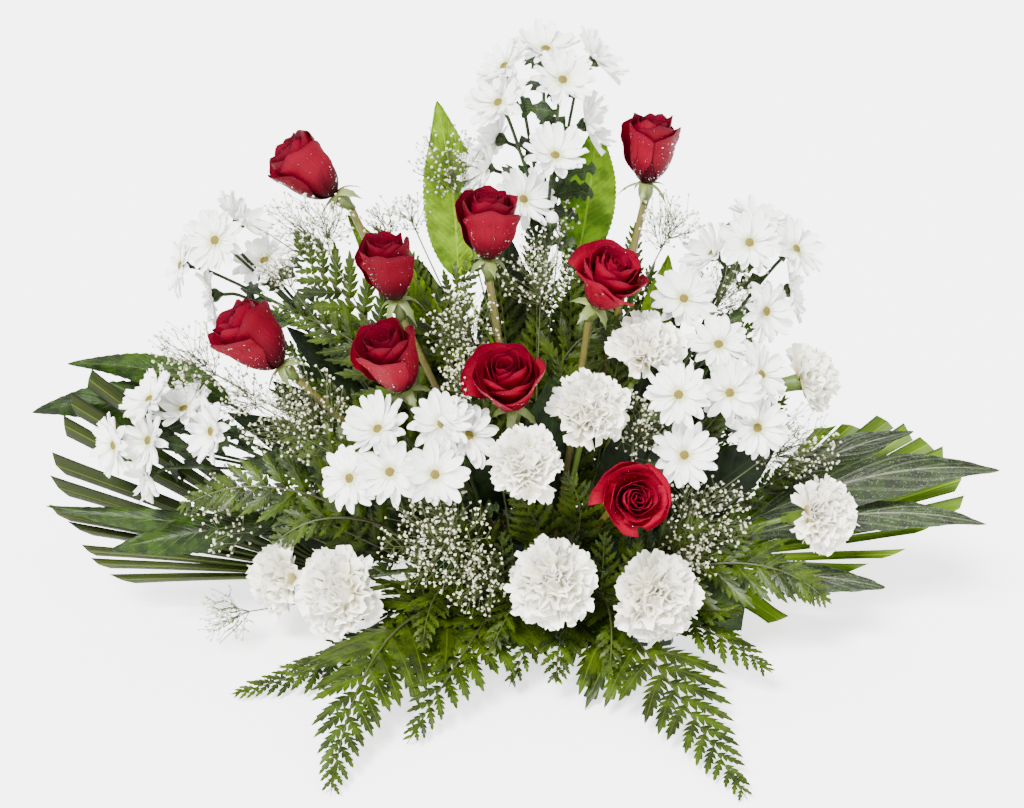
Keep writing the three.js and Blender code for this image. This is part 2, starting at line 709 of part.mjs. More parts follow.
function carnationBloom({ width }, random) {
  const outer = width / 2;
  const spin = random() * Math.PI;
  const rim = (radius, height, turn) => ring(
    2 * CARNATION_PETALS,
    (j) => outer * radius * (j % 2 ? 1 : 0.86) * lerp(0.94, 1.04, random()),
    (j) => outer * (height + (j % 2 ? 0.07 : -0.05) + lerp(-0.05, 0.05, random())), spin + turn);
  const fold = (radius, height, turn) => ring(CARNATION_PETALS, outer * radius, outer * height, spin + turn);
  return foldedBody(new THREE.Vector3(0, 0, GAP), [
    ring(CARNATION_PETALS, 6.5, GAP, spin),
    rim(1, 0.16, 0), fold(0.46, 0.36, 0.2),
    rim(0.94, 0.56, 0.2), fold(0.32, 0.58, 0.4),
    rim(0.7, 0.86, 0.4), fold(0.16, 0.74, 0.6),
    rim(0.34, 1.02, 0.6),
  ], new THREE.Vector3(0, 0, outer * 0.82));
}

// Daisies
const DAISY_PETALS = 8;
const DAISY_CUP = 6;
const HEAD_TRIES = 40;
const HEAD_PLAY = 12;

// A head and the branch under it, which runs back to the fork
function daisyHead(at, axis, branchEnd, random) {
  const frame = frameAt(at, axis, random() * Math.PI);
  const cup = lerp(-2, 9, random());
  const place = (a, v) => {
    const turn = (a * 2 * Math.PI) / DAISY_PETALS;
    const out = (DAISY_WIDTH / 2) * v;
    return new THREE.Vector3(out * Math.cos(turn), out * Math.sin(turn), cup * v * v).applyMatrix4(frame);
  };
  const neck = at.clone().addScaledVector(axis, -DAISY_CUP);
  const below = at.clone().addScaledVector(axis, -3 * DAISY_CUP).lerp(branchEnd, 0.12);
  const across = new THREE.Vector3(1, 0, 0).transformDirection(frame);
  return rosette({
    count: DAISY_PETALS, closed: true, place, thickness: PETAL, hubThickness: 7,
    rows: [{ v: 0.3, rib: 0.62 }], tipHalf: 0.3,
    stalk: ringsAlong([neck, below, branchEnd], [BRANCH * 1.8, BRANCH * 1.15], 3, across),
  });
}

function daisySpray({ fork, heads }, random) {
  const joint = point(fork);
  const { start, direction } = rayTo(joint);
  drill(start, direction, SPRAY_STEM);
  const stem = tube([start, joint.clone().addScaledVector(direction, 6)], [SPRAY_STEM], 5);
  const placed = [];
  for (const { at, tilt, toward } of heads) {
    const from = joint.clone().addScaledVector(direction, -lerp(0, 30, random()));
    const tries = Array.from({ length: HEAD_TRIES }, () => {
      const nod = () => lerp(-HEAD_PLAY, HEAD_PLAY, random());
      const axis = facing({ tilt: tilt + nod(), toward: toward + nod() });
      const solid = daisyHead(point(at), axis, from, random);
      const cost = 100 * crossing(solid, claimed) + crossing(solid, placed);
      return { solid, box: solid.boundingBox(), cost };
    });
    placed.push(tries.reduce((best, next) => (next.cost < best.cost ? next : best)));
  }
  return mainBody(fuse([stem, ...placed.map(({ solid }) => solid)]));
}

// Ferns
const FERN_PITCH = 34;
const FERN_PAIRS = [4, 7];
const FERN_SWEEP = radians(32);
const SHORTER = [1, 0.8, 0.6, 0.42, 0.26, 0.12];
const STALK = 1.1;

// A path through three hand-placed points, with its sideways and facing directions.
function bladePath(path, face) {
  const [from, bend, to] = path.map(point);
  const control = bend.clone().multiplyScalar(2).addScaledVector(from, -0.5).addScaledVector(to, -0.5);
  const curve = new THREE.QuadraticBezierCurve3(from, control, to);
  const upper = point(face).normalize();
  return (t) => {
    const along = curve.getTangent(t);
    const side = along.clone().cross(upper).normalize();
    return { middle: curve.getPoint(t), along, side, normal: side.clone().cross(along) };
  };
}

function aboveTable(place) {
  place.z = Math.max(place.z, TABLE_CLEAR);
  return place;
}

// The four corners with which a blade's root goes over into its stalk: left, top, right, bottom.
function rootRing(skin, { middle, side, normal }, radius) {
  const top = skin.inner(middle, normal, 2 * radius);
  const left = skin.edge(middle.clone().addScaledVector(side, -radius));
  const right = skin.edge(middle.clone().addScaledVector(side, radius));
  return { left, right, top, corners: [left[0], top[0], right[0], top[1]] };
}

function growStalk(skin, root, at, peg, radius, rise) {
  const { middle, side } = at(0);
  const route = clearRoute(peg, middle, radius, rise).reverse();
  skin.grow(root.corners, ringsAlong(route, [radius], 4, side.clone().negate()).slice(1));
}

function frond({ path, width, face }, peg) {
  const at = bladePath(path, face);
  const skin = new Skin();
  const length = at(1).middle.distanceTo(at(0).middle);
  const pairs = THREE.MathUtils.clamp(Math.round(length / FERN_PITCH), ...FERN_PAIRS);
  const pitch = length / pairs;
  const spot = (i) => 1 - (1 - i / (pairs + 0.5)) ** 1.25;
  const spine = [];
  for (let i = 0; i <= pairs; i++) {
    const { middle, normal } = at(spot(i + (i < pairs ? 0.5 : 0.2)));
    spine.push(skin.inner(aboveTable(middle), normal, i < pairs ? 2 * LEAF : LEAF));
  }
  const tip = skin.edge(aboveTable(at(1).middle));
  const root = rootRing(skin, at(0), STALK);
  skin.face(spine[0], root.left, root.top);
  skin.face(spine[0], root.top, root.right);
  for (const hand of [-1, 1]) {
    const face3 = (a, b, c) => (hand > 0 ? skin.face(a, b, c) : skin.face(a, c, b));
    let valley = hand > 0 ? root.right : root.left;
    for (let i = 0; i < pairs; i++) {
      const { middle, along, side, normal } = at(spot(i + 0.5));
      const full = width * (i === 0 ? 0.9 : 1 - (0.86 * i) / pairs);
      const outward = side.clone().multiplyScalar(hand * Math.cos(FERN_SWEEP))
        .addScaledVector(along, Math.sin(FERN_SWEEP)).addScaledVector(normal, -0.12).normalize();
      const probe = (share) => {
        const end = middle.clone().addScaledVector(outward, full * share);
        return gridPetal(2, 2, (u, v) => middle.clone().lerp(end, lerp(0.08, 1.03, v))
          .addScaledVector(along, (u - 0.5) * pitch * 1.1 * Math.sin(Math.PI * lerp(0.1, 1, v))), 2);
      };
      const share = SHORTER.find((s) => isClear(probe(s))) ?? SHORTER.at(-1);
      const end = middle.clone().addScaledVector(outward, full * share);
      const leafTip = skin.edge(aboveTable(end.clone()));
      const after = at(spot(i + 1));
      const next = skin.edge(aboveTable(after.middle.clone().addScaledVector(after.side, hand * 1.2)));
      const lobe = skin.edge(aboveTable(middle.clone().lerp(end, 0.62).addScaledVector(along, pitch * 0.36)));
      const rib = skin.inner(aboveTable(middle.clone().lerp(end, 0.45)), normal, LEAF);
      face3(spine[i], valley, rib);
      face3(valley, leafTip, rib);
      face3(leafTip, lobe, rib);
      face3(lobe, next, rib);
      face3(spine[i], rib, next);
      face3(spine[i], next, spine[i + 1]);
      valley = next;
    }
    face3(valley, tip, spine[pairs]);
  }
  growStalk(skin, root, at, peg, STALK, 0.06);
  return skin.solid();
}

// Palms
function palm({ hub, tips, bend }) {
  const centre = point(hub);
  const ends = tips.map(point);
  const normal = ends[0].clone().sub(centre).cross(ends.at(-1).clone().sub(centre)).normalize();
  const endAt = (a) => {
    const i = THREE.MathUtils.clamp(Math.floor(a - 0.5), 0, ends.length - 2);
    return ends[i].clone().lerp(ends[i + 1], a - 0.5 - i);
  };
  const place = (a, v) => {
    const fold = Math.sin(Math.PI * (a - Math.floor(a))) * PLEAT * v;
    return centre.clone().lerp(endAt(a), v).addScaledVector(normal, fold + bend * Math.sin(Math.PI * v));
  };
  const fan = rosette({
    count: ends.length, closed: false, place, thickness: LEAF, hubThickness: 3,
    rows: [{ v: 0.34, rib: 0.34 }, { v: 0.7, rib: 0.74, half: 0.36 }], tipHalf: 0.34,
  });
  const { start, direction } = rayTo(centre);
  drill(start, direction, PEG_RADIUS);
  const out = start.clone().addScaledVector(direction, wayOut(start, direction) + 6);
  const into = centre.clone().lerp(ends[Math.floor(ends.length / 2)], 0.1);
  return fan.add(tube([start, out, into], [PEG_RADIUS], 4));
}

// Broad leaves
const LEAF_ROWS = 6;

function broadLeaf({ path, width, face }, peg) {
  const at = bladePath(path, face);
  const skin = new Skin();
  const root = rootRing(skin, at(0), STALK);
  let [left, rib, right] = [root.left, root.top, root.right];
  for (let i = 1; i < LEAF_ROWS; i++) {
    const t = i / LEAF_ROWS;
    const { middle, side, normal } = at(t);
    const toothed = i % 2 ? 1.05 : 0.94;
    const half = (width / 2) * Math.sin(Math.PI * Math.pow(t, 0.8)) ** 0.75 * toothed;
    const edgeAt = (hand) => skin.edge(middle.clone().addScaledVector(side, hand * half)
      .addScaledVector(normal, -half * 0.25));
    const [nextLeft, nextRib, nextRight] = [edgeAt(-1), skin.inner(middle, normal, LEAF), edgeAt(1)];
    skin.face(rib, right, nextRight);
    skin.face(rib, nextRight, nextRib);
    skin.face(left, rib, nextRib);
    skin.face(left, nextRib, nextLeft);
    [left, rib, right] = [nextLeft, nextRib, nextRight];
  }
  const tip = skin.edge(at(1).middle);
  skin.face(rib, right, tip);
  skin.face(left, rib, tip);
  growStalk(skin, root, at, peg, STALK, 0.04);
  return skin.solid();
}

// A bunch of fronds or leaves on one peg
function bunchOf(make, peg, leaves) {
  const { top, solid } = pegFor(point(peg));
  const parts = leaves.map((leaf) => {
    const made = make(leaf, top);
    claim(made);
    return made;
  });
  return mainBody(fuse([solid, ...parts]));
}

// Baby's breath: a stalk that ends in a small hub, from whose faces the florets grow on threads.
const HUB = 1.2;
const FLORET = 3.2;
const FLORET_FACES = 7;

function breathCloud({ at, size }, peg, random) {
  const middle = point(at);
  const outward = middle.clone().sub(HEART).normalize();
  const base = middle.clone().addScaledVector(outward, -size * 0.8);
  const frame = frameAt(base, outward, random() * Math.PI);
  const skin = new Skin();
  const corners = [...ring(3, HUB, -HUB / 2), ...ring(3, HUB, HUB / 2, Math.PI / 3)]
    .map((spot) => skin.edge(spot.applyMatrix4(frame))[0]);
  const [a, b, c, d, e, f] = corners;
  const faces = [[d, e, f], [a, b, d], [b, c, e], [c, a, f], [d, b, e], [e, c, f], [f, a, d]];
  const wanted = THREE.MathUtils.clamp(Math.round(size / 7.5), 3, FLORET_FACES);
  faces.forEach((corners3, k) => {
    const [one, two, three] = corners3.map((corner) => skin.corners[corner]);
    const start = one.clone().add(two).add(three).divideScalar(3);
    const aim = start.clone().sub(base).normalize();
    const level = aim.dot(outward);
    const reach = size * (k === 0 ? 1.6 : lerp(0.9, 1.25, random()) * lerp(0.85, 1.15, level));
    const end = start.clone().addScaledVector(aim.lerp(outward, 0.35).normalize(), reach);
    end.z = Math.max(end.z, FLORET + 1);
    const thread = (radius) => ringsAlong(
      [start, end.clone().lerp(start, 0.12), end], [THREAD, THREAD, radius], 3, two.clone().sub(start));
    const point3 = end.clone().addScaledVector(end.clone().sub(start).normalize(), FLORET * 0.8);
    const probe = tube([start.clone().lerp(end, 0.15), end, point3], [THREAD + 0.8, FLORET + 0.8], 4);
    if (k < wanted && isClear(probe)) {
      skin.grow([corners3[1], corners3[0], corners3[2]], thread(FLORET).slice(1), point3);
    } else {
      skin.faces.push(corners3);
    }
  });
  const stalk = clearRoute(peg, base, THREAD, 0.02).reverse();
  const across = skin.corners[b].clone().sub(base);
  skin.grow([b, c, a], ringsAlong(stalk, [THREAD], 3, across).slice(1));
  return skin.solid();
}

function breathBunch({ peg, clouds }, random) {
  const { top, solid } = pegFor(point(peg));
  return mainBody(fuse([solid, ...clouds.map((cloud) => breathCloud(cloud, top, random))]));
}

// The holder
function roundedPlate(length, width, corner, depth) {
  const shape = new THREE.Shape();
  const x = length / 2 - corner;
  const y = width / 2 - corner;
  shape.absarc(x, y, corner, 0, Math.PI / 2);
  shape.absarc(-x, y, corner, Math.PI / 2, Math.PI);
  shape.absarc(-x, -y, corner, Math.PI, 1.5 * Math.PI);
  shape.absarc(x, -y, corner, 1.5 * Math.PI, 2 * Math.PI);
  shape.closePath();
  return solidOf(new THREE.ExtrudeGeometry(shape, { depth, bevelEnabled: false, curveSegments: 1 }));
}

function trayBody() {
  const { length, width, height, wall, base, corner, lip, lipDepth } = TRAY;
  const outer = roundedPlate(length, width, corner, height);
  const rim = roundedPlate(length + 2 * lip, width + 2 * lip, corner + lip, lipDepth)
    .translate(0, 0, height - lipDepth);
  const inner = roundedPlate(length - 2 * wall, width - 2 * wall, corner - wall, height)
    .translate(0, 0, base);
  return outer.add(rim).subtract(inner);
}

function foamBlock() {
  const block = new THREE.BoxGeometry(FOAM.length, FOAM.width, FOAM.height);
  block.translate(0, 0, FOAM_LIFT + FOAM.height / 2);
  return solidOf(block);
}

// The assembly, in the order in which its pieces claim their room
const centerpiece = new THREE.Group();
centerpiece.name = 'flower_centerpiece';

const FINISH = { rough: 0.6, metal: 0 };

function add(name, solid, colour) {
  const material = new THREE.MeshStandardMaterial({
    color: colour, roughness: FINISH.rough, metalness: FINISH.metal,
  });
  const mesh = new THREE.Mesh(geometryOf(solid), material);
  mesh.name = name;
  centerpiece.add(mesh);
}

const tray = trayBody();
const block = foamBlock();
claim(tray, block);
add('tray', tray, COLOURS.tray);

ROSES.forEach((rose, k) => {
  const random = seeded(100 + k);
  const at = point(rose.at);
  const axis = facing(rose);
  const bloom = roseBloom(rose, random).transform(frameAt(at, axis, random() * Math.PI).elements);
  const stem = roseStem(at, axis, random);
  claim(bloom, stem);
  add(`rose_${k + 1}`, bloom, COLOURS.rose);
  add(`rose_stem_${k + 1}`, stem, COLOURS.roseStem);
});

CARNATIONS.forEach((flower, k) => {
  const axis = facing(flower);
  const at = point(flower.at).addScaledVector(axis, -18);
  const bloom = carnationBloom(flower, seeded(200 + k)).transform(frameAt(at, axis).elements);
  const { points, radii } = stemPath(at, axis, CARNATION_STEM, CARNATION_CALYX);
  const stem = tube(points, radii, 5);
  claim(bloom, stem);
  add(`carnation_${k + 1}`, bloom, COLOURS.carnation);
  add(`carnation_stem_${k + 1}`, stem, COLOURS.carnationStem);
});

Object.entries(DAISY_SPRAYS).forEach(([name, spray], k) => {
  const solid = daisySpray(spray, seeded(400 + k));
  claim(solid);
  add(name, solid, COLOURS.daisy);
});

for (const [name, leaf] of Object.entries(PALMS)) {
  const solid = palm(leaf);
  claim(solid);
  add(name, solid, COLOURS.palm);
}

for (const [name, { peg, colour, blades }] of Object.entries(LEAVES)) {
  add(name, bunchOf(broadLeaf, peg, blades), COLOURS[colour]);
}

for (const [name, { peg, fronds }] of Object.entries(FERNS)) {
  add(name, bunchOf(frond, peg, fronds), COLOURS.fern);
}

Object.entries(BREATH).forEach(([name, bunch], k) => {
  const solid = breathBunch(bunch, seeded(500 + k));
  claim(solid);
  add(name, solid, COLOURS.breath);
});

add('foam', mainBody(block.subtract(fuse(holes))), COLOURS.foam);

export default centerpiece;
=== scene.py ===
# The dressed flower centerpiece: fine petals, leaflets, florets, dew and their materials, each laid
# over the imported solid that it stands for.
# Lengths are in millimetres in this script, and MM turns them to metres where a mesh is made.
import bpy
import math
import random
from mathutils import Matrix, Vector


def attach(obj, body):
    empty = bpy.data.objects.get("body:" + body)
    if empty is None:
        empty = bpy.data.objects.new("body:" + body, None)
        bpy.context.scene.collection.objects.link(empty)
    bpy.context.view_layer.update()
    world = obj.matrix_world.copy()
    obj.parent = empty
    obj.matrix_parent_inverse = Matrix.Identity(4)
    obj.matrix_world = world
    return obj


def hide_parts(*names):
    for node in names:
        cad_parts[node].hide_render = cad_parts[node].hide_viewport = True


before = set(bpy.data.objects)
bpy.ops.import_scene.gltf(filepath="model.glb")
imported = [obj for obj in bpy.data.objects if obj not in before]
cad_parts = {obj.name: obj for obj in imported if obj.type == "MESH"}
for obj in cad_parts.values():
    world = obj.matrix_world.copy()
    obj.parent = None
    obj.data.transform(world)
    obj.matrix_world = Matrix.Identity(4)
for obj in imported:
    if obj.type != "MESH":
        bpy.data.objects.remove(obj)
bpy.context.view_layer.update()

MM = 0.001
UP = Vector((0, 0, 1))
GOLDEN_ANGLE = math.radians(137.5)

# The foam, and the small ellipsoid of cut ends from which every stem runs straight out. A bunch has
# one peg in the foam, and its stalks part from the top of that peg.
FOAM = Vector((200, 100, 75))
FOAM_LIFT = 2.3
HEART = Vector((0, 0, 50))
CUT_ENDS = Vector((66, 31, 12))
PEG_DEPTH = 26
PEG_OUT = 5
PEG_LEAN = Vector((0.5, 1, 1))
PEG_RADIUS = 2
LEAF_STALK = [1.6, 1.4, 1.2]
STRAIGHT_PAST_FOAM = 6
TABLE_CLEAR = 1.2

# Each rose: where its base is, its tilt to the right of upright, how far it faces the viewer, its
# size, how far it has opened from 0 to 1, and half the width of a sepal
ROSES = [
    dict(at=(-169, 30, 359), tilt=-46, toward=5, width=51, height=56, open=0.2, sepal=4.8),
    dict(at=(80, 40, 366), tilt=4, toward=5, width=45, height=53, open=0.15, sepal=2.4),
    dict(at=(-46, -10, 317), tilt=0, toward=8, width=50, height=54, open=0.2, sepal=4.0),
    dict(at=(-118, -20, 287), tilt=-12, toward=10, width=46, height=53, open=0.2, sepal=4.0),
    dict(at=(38, -35, 287), tilt=20, toward=26, width=60, height=50, open=0.7, sepal=4.8),
    dict(at=(-211, -25, 234), tilt=-42, toward=8, width=56, height=60, open=0.3, sepal=4.0),
    dict(at=(-110, -70, 230), tilt=-20, toward=20, width=53, height=57, open=0.3, sepal=4.0),
    dict(at=(-27, -80, 219), tilt=-8, toward=32, width=62, height=54, open=0.65, sepal=4.0),
    dict(at=(59, -110, 155), tilt=25, toward=66, width=58, height=46, open=1, sepal=4.8),
]
# Each carnation: where its middle is, which is CARNATION_DEPTH above its base, and as for the roses
CARNATIONS = [
    dict(at=(33, -96, 226), tilt=8, toward=45, width=66),
    dict(at=(-19, -137, 197), tilt=-8, toward=50, width=62),
    dict(at=(4, -135, 95), tilt=0, toward=70, width=74),
    dict(at=(86, -125, 77), tilt=40, toward=66, width=76),
    dict(at=(-168, -100, 71), tilt=-48, toward=56, width=76),
    dict(at=(-224, -50, 60), tilt=-75, toward=28, width=66),
    dict(at=(225, -70, 123), tilt=62, toward=42, width=66),
    dict(at=(224, 10, 211), tilt=74, toward=8, width=62),
    dict(at=(80, -56, 265), tilt=16, toward=28, width=62),
]
CARNATION_DEPTH = 18

# Daisy sprays: the fork of the main stem, and each head as its place, tilt and turn to the viewer
DAISY_WIDTH = 56
DAISY_SPRAYS = {
    "daisy_spray_top": dict(fork=(0, 40, 330), buds=[(4, 16, 338)], heads=[
        ((-33, 60, 454), -40, 20), ((-1, 75, 465), 5, 25), ((12, 45, 446), 10, 50),
        ((39, 70, 458), 50, 10), ((-38, 40, 429), -30, 40), ((31, 60, 408), 75, 10),
        ((6, 20, 391), 10, 45), ((-38, 65, 395), -75, -20), ((-48, 50, 375), -70, 20),
        ((-19, 36, 352), 30, 50)]),
    "daisy_spray_left_high": dict(fork=(-190, 10, 262), heads=[
        ((-261, 0, 328), -30, 62), ((-245, 25, 337), 40, 0), ((-290, 10, 305), -75, 20),
        ((-267, 14, 279), -95, 10), ((-226, 25, 304), -20, 30)]),
    "daisy_spray_left_low": dict(fork=(-210, -12, 140), heads=[
        ((-319, -10, 198), -35, 20), ((-348, -20, 163), -80, 40), ((-319, -25, 169), -60, 45),
        ((-268, -25, 177), -70, 40), ((-294, 0, 186), -15, 20), ((-323, -20, 138), -100, 30)]),
    "daisy_spray_middle": dict(fork=(-55, -55, 110), heads=[
        ((-130, -90, 203), -20, 40), ((-81, -100, 211), 10, 50), ((-151, -105, 169), -50, 55),
        ((-120, -115, 178), -10, 60), ((-86, -120, 178), 15, 62), ((-61, -100, 202), 40, 45)]),
    "daisy_spray_right_high": dict(fork=(105, 3, 210), heads=[
        ((159, 0, 326), 5, 58), ((197, 10, 318), 45, 35), ((171, 35, 335), 15, 10),
        ((134, 25, 310), -50, 10), ((174, 0, 270), 70, 50), ((109, 0, 280), -5, 55),
        ((196, 25, 280), 80, 10)]),
    "daisy_spray_right_middle": dict(fork=(75, -28, 140), heads=[
        ((134, -35, 253), 0, 45), ((141, -60, 222), 10, 62), ((99, -90, 231), -15, 55),
        ((167, -40, 230), 50, 30), ((163, -65, 195), 35, 62), ((104, -95, 184), 10, 65)]),
}

# Fern fronds: start, bend and tip of the rachis, the longest pinna, and the way the face looks
UPWARD = (0, -0.25, 1)
OUTWARD = (0, -1, 0.35)
FERNS = {
    "fern_front_right": dict(peg=(42, -50, 48), fronds=[
        (((43, -66, 47), (85, -150, 30), (137, -295, 4)), 88, UPWARD),
        (((60, -64, 46), (115, -95, 42), (172, -150, 26)), 52, UPWARD),
        (((25, -66, 46), (12, -105, 42), (6, -160, 22)), 46, UPWARD),
        (((75, -60, 62), (160, -85, 88), (222, -92, 58)), 60, (0.1, -0.75, 0.65))]),
    "fern_front_left": dict(peg=(-42, -50, 48), fronds=[
        (((-37, -66, 46), (-60, -130, 42), (-105, -222, 6)), 70, UPWARD),
        (((-70, -64, 47), (-130, -150, 44), (-155, -290, 4)), 88, UPWARD)]),
    "fern_left": dict(peg=(-100, -30, 62), fronds=[
        (((-150, -58, 118), (-225, -75, 150), (-293, -62, 124)), 44, (-0.1, -0.8, 0.6)),
        (((-128, -58, 108), (-175, -88, 128), (-216, -92, 106)), 38, OUTWARD),
        (((-118, -45, 128), (-165, -50, 165), (-218, -35, 188)), 44, OUTWARD)]),
    "fern_upper": dict(peg=(-50, 12, 77.3), fronds=[
        (((-110, 8, 210), (-170, 8, 290), (-238, 12, 340)), 50, OUTWARD),
        (((-105, 0, 190), (-160, 0, 248), (-220, -4, 272)), 44, OUTWARD),
        (((-75, 5, 220), (-82, 2, 268), (-50, 0, 316)), 40, OUTWARD),
        (((5, 2, 190), (20, 2, 238), (62, -2, 262)), 44, OUTWARD)]),
    "fern_back": dict(peg=(10, 50, 60), fronds=[
        (((55, 66, 62), (110, 105, 110), (165, 105, 190)), 60, (0.2, 1, 0.4)),
        (((-50, 66, 62), (-110, 105, 110), (-165, 105, 190)), 60, (-0.2, 1, 0.4)),
        (((5, 68, 62), (0, 112, 120), (-5, 110, 215)), 60, (0, 1, 0.4))]),
}

# Palm leaves: where the strips meet, how far they bow, their share of the pitch at the cut ends,
# the greatest width of each strip there, and the middle of each cut end
PALMS = {
    "palm_left": dict(hub=(-168, -8, 40), bow=-6, share=0.64, widest=[15] * 10, tips=[
        (-378, 30, 206), (-394, 28, 186), (-403, 25, 165), (-414, 20, 137), (-412, 16, 113),
        (-408, 12, 93), (-396, 8, 77), (-384, 4, 63), (-374, 0, 50), (-358, -4, 38)]),
    "palm_right": dict(hub=(122, -6, 56), bow=6, share=0.95, widest=[26] * 8 + [16] * 5, tips=[
        (236, 30, 162), (258, 28, 170), (284, 26, 168), (303, 22, 161), (322, 17, 154), (338, 12, 144),
        (354, 6, 126), (354, 0, 106), (318, -12, 86), (287, -22, 72), (254, -32, 58), (227, -42, 42),
        (190, -52, 22)]),
}

# Broad leaves: start, bend and tip, the greatest width, and the way the face looks. The shade backing
# is leaves behind the flowers, painted near black as the shade deep inside the arrangement, and the
# cut one is a leaf that the florist cut short.
LEAVES = {
    "leaves_top": dict(peg=(8, 30, 77.3), kind="lime", shade_backing=[
        (((-20, 40, 140), (-28, 52, 230), (-30, 50, 318)), 60, OUTWARD),
        (((20, 40, 140), (32, 52, 225), (44, 50, 312)), 60, OUTWARD),
        (((-60, 38, 130), (-84, 48, 215), (-104, 46, 300)), 58, OUTWARD),
        (((-80, 34, 110), (-124, 42, 180), (-168, 40, 262)), 56, OUTWARD),
        (((-100, 28, 100), (-150, 36, 150), (-205, 34, 215)), 54, OUTWARD),
        (((60, 34, 130), (84, 42, 210), (98, 40, 292)), 56, OUTWARD),
        (((90, 26, 100), (126, 34, 170), (150, 30, 250)), 52, OUTWARD),
        (((0, -10, 90), (4, -16, 160), (6, -14, 225)), 52, OUTWARD),
        (((-50, -20, 88), (-62, -30, 150), (-70, -28, 215)), 52, OUTWARD),
        (((50, -30, 88), (66, -40, 150), (80, -40, 205)), 48, OUTWARD),
        (((105, 0, 90), (150, -4, 130), (190, -8, 165)), 44, OUTWARD),
        (((-95, -10, 80), (-150, -16, 120), (-200, -20, 160)), 46, OUTWARD),
        (((-100, 24, 90), (-165, 26, 126), (-262, 20, 176)), 56, OUTWARD),
        (((-90, 30, 105), (-142, 38, 172), (-212, 34, 246)), 54, OUTWARD),
        (((-96, 32, 95), (-150, 40, 140), (-226, 36, 198)), 50, OUTWARD),
        (((-110, -8, 70), (-170, -22, 92), (-252, -30, 116)), 50, OUTWARD)], blades=[
        (((-72, 45, 285), (-76, 62, 350), (-88, 70, 425)), 50, OUTWARD),
        (((24, 56, 286), (36, 82, 346), (42, 94, 402)), 46, OUTWARD),
        (((-84, 34, 235), (-118, 34, 280), (-160, 42, 338)), 36, OUTWARD),
        (((78, 26, 230), (92, 28, 268), (98, 30, 308)), 26, OUTWARD)]),
    "leaves_left": dict(peg=(-100, 20, 64), kind="dark", blades=[
        (((-270, 34, 154), (-345, 36, 178), (-424, 24, 175)), 42, OUTWARD),
        (((-262, 40, 176), (-320, 42, 204), (-394, 34, 214)), 30, OUTWARD),
        (((-215, -34, 104), (-290, -50, 98), (-350, -50, 84)), 32, (0, -0.8, 0.6)),
        (((-205, -16, 86), (-320, -16, 96), (-412, -4, 103)), 20, (0, -0.8, 0.6))]),
    "leaves_right": dict(peg=(100, 12, 48), kind="grey",
                         cut=(((84, -54, 52), (124, -70, 50), (159, -76, 47)), 46, OUTWARD), blades=[
        (((180, 4, 112), (238, -2, 149), (297, -12, 172)), 27, (-0.2, -0.75, 0.65)),
        (((175, -14, 98), (270, -26, 140), (364, -32, 146)), 36, (-0.1, -0.75, 0.65)),
        (((170, -12, 80), (265, -26, 106), (354, -44, 104)), 26, (-0.1, -0.75, 0.65)),
        (((165, -44, 62), (220, -66, 68), (270, -74, 62)), 22, (-0.1, -0.75, 0.65))]),
}

# Baby's breath: the middle of each cloud of florets and the cloud's radius
BREATH = {
    "babys_breath_top": dict(peg=(-8, 4, 77.3), clouds=[
        ((-78, 60, 375), 29), ((-109, 20, 344), 16), ((-130, 20, 340), 16), ((11, 40, 334), 16),
        ((99, 30, 333), 25), ((-6, -10, 303), 31)]),
    "babys_breath_left": dict(peg=(-70, 12, 77.3), clouds=[
        ((-187, 10, 338), 33), ((-212, -4, 302), 18), ((-287, 0, 229), 30), ((-250, 0, 200), 22),
        ((-196, -40, 196), 42)]),
    "babys_breath_low_left": dict(peg=(-100, -34, 41), clouds=[
        ((-252, -34, 110), 34), ((-258, -62, 32), 22)]),
    "babys_breath_middle": dict(peg=(-24, -50, 68), clouds=[
        ((-83, -128, 130), 42), ((-53, -118, 88), 26), ((-56, -84, 240), 25), ((-66, -44, 271), 29)]),
    "babys_breath_right": dict(peg=(64, -50, 70), clouds=[
        ((76, -70, 196), 28), ((124, -84, 132), 33), ((110, -92, 96), 22), ((197, -24, 164), 34),
        ((146, 16, 284), 28)]),
}


# Small helpers
def lerp(a, b, t):
    """From a to b as t goes from 0 to 1."""
    return a + (b - a) * t


def smooth(low, high, x):
    """From 0 to 1 as x goes from low to high, with soft ends."""
    t = min(1, max(0, (x - low) / (high - low)))
    return t * t * (3 - 2 * t)


def facing(tilt, toward):
    """The axis of a bloom, from its tilt to the right and its turn to the viewer, in degrees."""
    side, front = math.radians(tilt), math.radians(toward)
    return Vector((math.sin(side) * math.cos(front), -math.sin(front),
                   math.cos(side) * math.cos(front)))


def frame_at(at, axis, spin=0):
    """The frame of a bloom at a place: its Z runs along the axis, and it is spun about that."""
    turn = UP.rotation_difference(axis).to_matrix().to_4x4()
    return Matrix.Translation(at) @ turn @ Matrix.Rotation(spin, 4, "Z")


def times(a, b):
    """Each part of a times the same part of b."""
    return Vector((a.x * b.x, a.y * b.y, a.z * b.z))


def spline(points, radii, steps):
    """A smooth curve through points, with the radii carried along, each span cut into steps."""
    knots = [2 * points[0] - points[1]] + list(points) + [2 * points[-1] - points[-2]]
    made, widths = [], []
    for k in range(len(points) - 1):
        p, q, r, s = knots[k:k + 4]
        for i in range(steps):
            t = i / steps
            made.append(0.5 * (2 * q + (r - p) * t + (2 * p - 5 * q + 4 * r - s) * t * t
                               + (3 * q - p - 3 * r + s) * t ** 3))
            widths.append(lerp(radii[k], radii[k + 1], t))
    return made + [points[-1]], widths + [radii[-1]]


